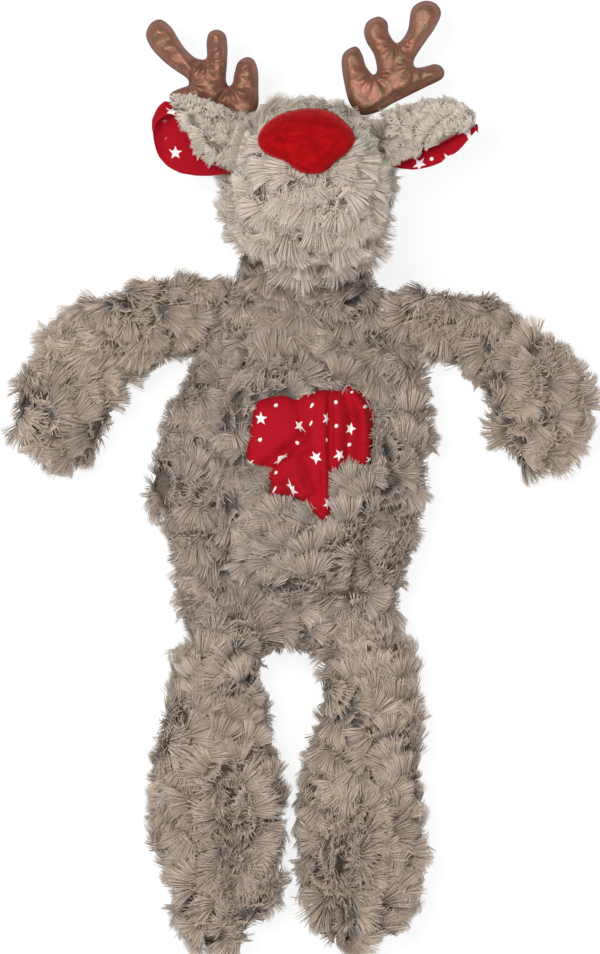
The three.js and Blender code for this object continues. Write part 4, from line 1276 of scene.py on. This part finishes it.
# The nose: a padded velvet dome, seated on the muzzle's slope
NOSE_PIXELS = [
    (309, 107), (292, 109.5), (276, 115), (263, 125.5), (257.5, 138), (261, 149), (271, 156), (284, 161),
    (295, 169), (303, 173), (312, 174), (321, 173), (329, 169), (335, 162), (345, 154.5), (353, 145),
    (355, 135), (347, 122.5), (335, 112.5), (323, 108),
]
NOSE_HEIGHT, NOSE_SEAT = 118 * MM, 112 * MM
NOSE_CROWN, NOSE_ROUND, NOSE_BACK = 12 * MM, 17 * MM, 0.35
NOSE_SLOPE = math.radians(24)
NOSE_GAP = 1.2 * MM


def add_nose():
    """The nose, fuller in front than behind."""
    outline = closed_curve(spots(NOSE_PIXELS, NOSE_HEIGHT), NOSE_GAP)
    points, faces, depth = filled(outline, NOSE_GAP)
    rise = eased(NOSE_CROWN * dome(depth, NOSE_ROUND), faces, 14, depth == 0)
    middle = (outline.min(0) + outline.max(0)) / 2
    seat = NOSE_SEAT - (points[:, 1] - middle[1]) * math.tan(NOSE_SLOPE)
    front, back = seat + rise, seat - NOSE_BACK * rise
    piece = add_pad("nose_velvet_dome", "nose", points, faces, depth, front, back)
    piece.data.materials.append(VELVET)
    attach(piece, "head")


add_nose()

# The ears: each a leaf of plush and its printed lining, folded over lengthwise. An ear runs across the
# photograph from the column root to the column tip. leaf is the share of it that the plush covers, bare how
# far from the tip no pile grows, and lip how far the lining turns up in front, both in mm.
EAR_HEIGHT = 63 * MM
EARS = {
    "left": {
        "root": 241, "tip": 152, "bare": 12.5, "leaf": 0.77, "lip": 3.4,
        "fold": [
            (241, 119), (225, 113), (210, 107), (190, 101), (175, 99), (165, 101.5), (157, 109),
            (152, 121),
        ],
        "back": [
            (241, 171), (213, 175.5), (197, 175.5), (181, 173), (168, 167), (158, 156), (153.5, 142),
            (152, 123),
        ],
        "front": [
            (241, 166), (215, 160), (205, 149), (195, 131), (185, 118), (175, 109), (168, 105),
            (152, 122),
        ],
    },
    "right": {
        "root": 384, "tip": 478, "bare": 0.5, "leaf": 0.97, "lip": 0.8,
        "fold": [(384, 115), (410, 110), (430, 104), (450, 105), (463, 110), (472, 117), (478, 127)],
        "back": [
            (392, 166), (400, 168), (415, 169.5), (428, 167), (440, 163), (459.5, 150), (473, 134),
            (478, 128),
        ],
        "front": [(392, 158), (400, 151), (420, 149), (438, 144), (455, 135), (467, 127), (478, 127.5)],
    },
}
EAR_FOLD = 4.2 * MM
EAR_PILE_RISE = 2.5 * MM
EAR_ROWS = 34
EAR_BULGE = 0.07
EAR_HEM = 7 * MM
LINING_ROLL = 2.5 * MM
LEAF_OUTER, LEAF_INNER, PRINT_OUTER = 2.4 * MM, 1.0 * MM, 0.7 * MM


def ear_shares():
    """Shares of an ear's length, closer together towards its tip."""
    return 1 - (1 - np.linspace(0, 1, EAR_ROWS)) ** 1.5


def ear_layer(side, offset, reach=1.0, lip=0.0, steps=12):
    """One layer of a folded ear: up its back leaf, round the fold and down its front, which ends in a lip."""
    ear = EARS[side]
    shares = reach * ear_shares()
    columns = ear["root"] + (ear["tip"] - ear["root"]) * shares
    lines = {}
    for key in ("fold", "back", "front"):
        line = np.array(ear[key], float)
        line = line[np.argsort(line[:, 0])]
        level = np.interp(columns, line[:, 0], line[:, 1])
        for _ in range(2):
            level[1:-1] = (level[:-2] + 2 * level[1:-1] + level[2:]) / 4
        lines[key] = spots(np.column_stack([columns, level]), EAR_HEIGHT)
    grid = []
    for row, share in enumerate(shares):
        x, fold = lines["fold"][row]
        back, front = lines["back"][row][1], lines["front"][row][1]
        half = EAR_FOLD * math.sqrt(max(0.02, 1 - share**2))
        top = fold - half - EAR_PILE_RISE
        back, front = min(back, top), min(front, top)
        bulge = (top - back) * EAR_BULGE
        drop = front - lip - top
        path = []
        for s in np.arange(steps) / steps:
            path.append((back + (top - back) * s, -half - bulge * math.sin(math.pi * s), -1.0, 0.0))
        for turn in np.arange(9) / 8 * math.pi:
            over, out = math.sin(turn), -math.cos(turn)
            path.append((top + half * over, half * out, out, over))
        for s in np.arange(1, steps + 1) / steps:
            z = half + bulge * math.sin(math.pi * s) + 0.5 * lip * s**4
            path.append((top + drop * s, z, 1.0, 0.0))
        grid.append([(x, y + rise * offset, EAR_HEIGHT + z + out * offset) for y, z, out, rise in path])
    return np.array(grid)


def sheet_of(outer, inner):
    """Points and triangles of a closed sheet between two grids of points, which face out of it."""
    points = np.vstack([outer.reshape(-1, 3), inner.reshape(-1, 3)])
    faces = sheet_faces(*outer.shape[:2])
    a, b, c = (points[faces[:, k]] for k in range(3))
    return points, faces if (a * np.cross(b, c)).sum() > 0 else faces[:, ::-1]


def add_ear_pile(side, outer, inner):
    """Short pile on the outer face of an ear's leaf, clear of its back's lower edge and of its tip."""
    ear = EARS[side]
    shell, faces = outer.reshape(-1, 3), sheet_faces(*outer.shape[:2])
    faces = faces[(faces < len(shell)).all(1)]
    normals = normals_of(shell, faces)
    if (normals * (shell - inner.reshape(-1, 3))).sum() < 0:
        faces, normals = faces[:, ::-1], -normals
    outwards = np.array([0.8 * SIDES[side], -0.5, 0])
    tip = spots([(ear["tip"], 0)], EAR_HEIGHT)[0, 0]
    edge = spots(ear["back"], EAR_HEIGHT)
    edge = edge[np.argsort(edge[:, 0])]

    def keep(places, ways, short):
        above = places[:, 1] - np.interp(places[:, 0], edge[:, 0], edge[:, 1]) > EAR_HEM
        return (above | (places[:, 2] >= EAR_HEIGHT)) & (np.abs(places[:, 0] - tip) > ear["bare"] * MM)

    pile = add_pile(
        f"ear_{side}_pile", (shell, faces, normals), HEAD_PLUSH, 81 + SIDES[side], 9 * MM, spacing=6 * MM,
        strands=70, thick=0.18 * MM, fan=(35, 75), flat=14, keep=keep,
        flow=lambda roots, noise: outwards + EAR_STRAY * noise,
    )
    for piece in pile:
        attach(piece, f"ear_{side}")


def add_leaf(side):
    """The plush outside of an ear, without and with its pile."""
    outer, inner = (ear_layer(side, offset, EARS[side]["leaf"]) for offset in (LEAF_OUTER, LEAF_INNER))
    leaf = add_mesh(f"ear_{side}_leaf", *sheet_of(outer, inner))
    leaf.data.materials.append(FACE_BACKING_SHADE)
    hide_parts(f"ear_{side}")
    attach(leaf, f"ear_{side}")
    add_ear_pile(side, outer, inner)
    return leaf


def add_lining(side, leaf):
    """The printed inside of an ear, rolled outward past the end of its leaf."""
    covered = EARS[side]["leaf"]
    lip = EARS[side]["lip"] * MM
    rolled = LINING_ROLL * np.clip((ear_shares() - covered) / (1.001 - covered) * 2.5, 0, 1)[:, None, None]
    outer, inner = (ear_layer(side, offset, lip=lip) for offset in (PRINT_OUTER, 0.0))
    way = unit(outer - inner)
    outer, inner = outer + way * rolled, inner + way * rolled
    points, faces = sheet_of(outer, inner)
    lining = add_mesh(f"ear_{side}_print", points, faces)
    along = np.linalg.norm(np.diff(outer, axis=1), axis=2)
    run = np.concatenate([np.zeros((EAR_ROWS, 1)), np.cumsum(along, 1)], 1)
    run = run - run[:, [run.shape[1] // 2]]
    dress_cloth(lining, np.stack([outer[:, :, 0] + 0.3 * SIDES[side], run], -1).reshape(-1, 2), faces)
    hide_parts(f"ear_lining_{side}")
    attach(lining, f"ear_{side}")


for side in SIDES:
    add_lining(side, add_leaf(side))

# The table, the lamps and the camera


def add_table():
    """A pale table that shows white where nothing shades it."""
    size = 3.0
    points = np.array([[-size, -size, 0], [size, -size, 0], [size, size, 0], [-size, size, 0]])
    table = add_mesh("table", points, np.array([[0, 1, 2, 3]]), smooth=False)
    n = Nodes("table_white")
    n.surface((0.9, 0.9, 0.9), 1.0)
    path = n.add("ShaderNodeLightPath").outputs
    seen = n.math("MAXIMUM", n.math("MAXIMUM", path["Is Camera Ray"], path["Is Glossy Ray"]),
                  path["Is Transmission Ray"])
    glow = n.add("ShaderNodeEmission", {0: (1, 1, 1), 1: 0.86}).outputs[0]
    faint = n.add("ShaderNodeBsdfDiffuse", {0: (0.16, 0.16, 0.16)}).outputs[0]
    both = n.add("ShaderNodeAddShader", {0: glow, 1: faint}).outputs[0]
    mix = n.add("ShaderNodeMixShader", {0: seen, 1: n.shader.outputs[0], 2: both}).outputs[0]
    n.feed(n.tree.nodes["Material Output"], {0: mix})
    table.data.materials.append(n.material)
    table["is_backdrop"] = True


def add_lamp(name, place, size, watts):
    """A broad soft lamp that looks at the toy's middle."""
    lamp = bpy.data.lights.new(name, "AREA")
    lamp.shape, lamp.size, lamp.energy = "DISK", size, watts
    holder = bpy.data.objects.new(name, lamp)
    holder.location = place
    holder.rotation_euler = (Vector(VIEW_MIDDLE) - Vector(place)).to_track_quat("-Z", "Y").to_euler()
    bpy.context.scene.collection.objects.link(holder)


def add_camera():
    """The photograph's view, from straight above."""
    camera = bpy.data.cameras.new("view")
    camera.sensor_width = SENSOR
    camera.lens = SENSOR * VIEW_DISTANCE / (FRAME_HIGH * PIXEL)
    camera.clip_start, camera.clip_end = 0.1, 20
    holder = bpy.data.objects.new("view", camera)
    holder.location = VIEW_MIDDLE + UP * VIEW_DISTANCE
    bpy.context.scene.collection.objects.link(holder)
    bpy.context.scene.camera = holder


add_table()
add_lamp("key", (-0.5, 0.35, 1.8), 0.8, 24.5)
add_lamp("fill", (0.6, -0.75, 1.5), 1.2, 9.5)
add_camera()
world = bpy.data.worlds.new("room")
world.use_nodes = True
background = world.node_tree.nodes["Background"]
background.inputs[0].default_value = (1, 1, 1, 1)
background.inputs[1].default_value = 0.43
bpy.context.scene.world = world
bpy.context.scene.view_settings.view_transform = "Standard"

low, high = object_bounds()
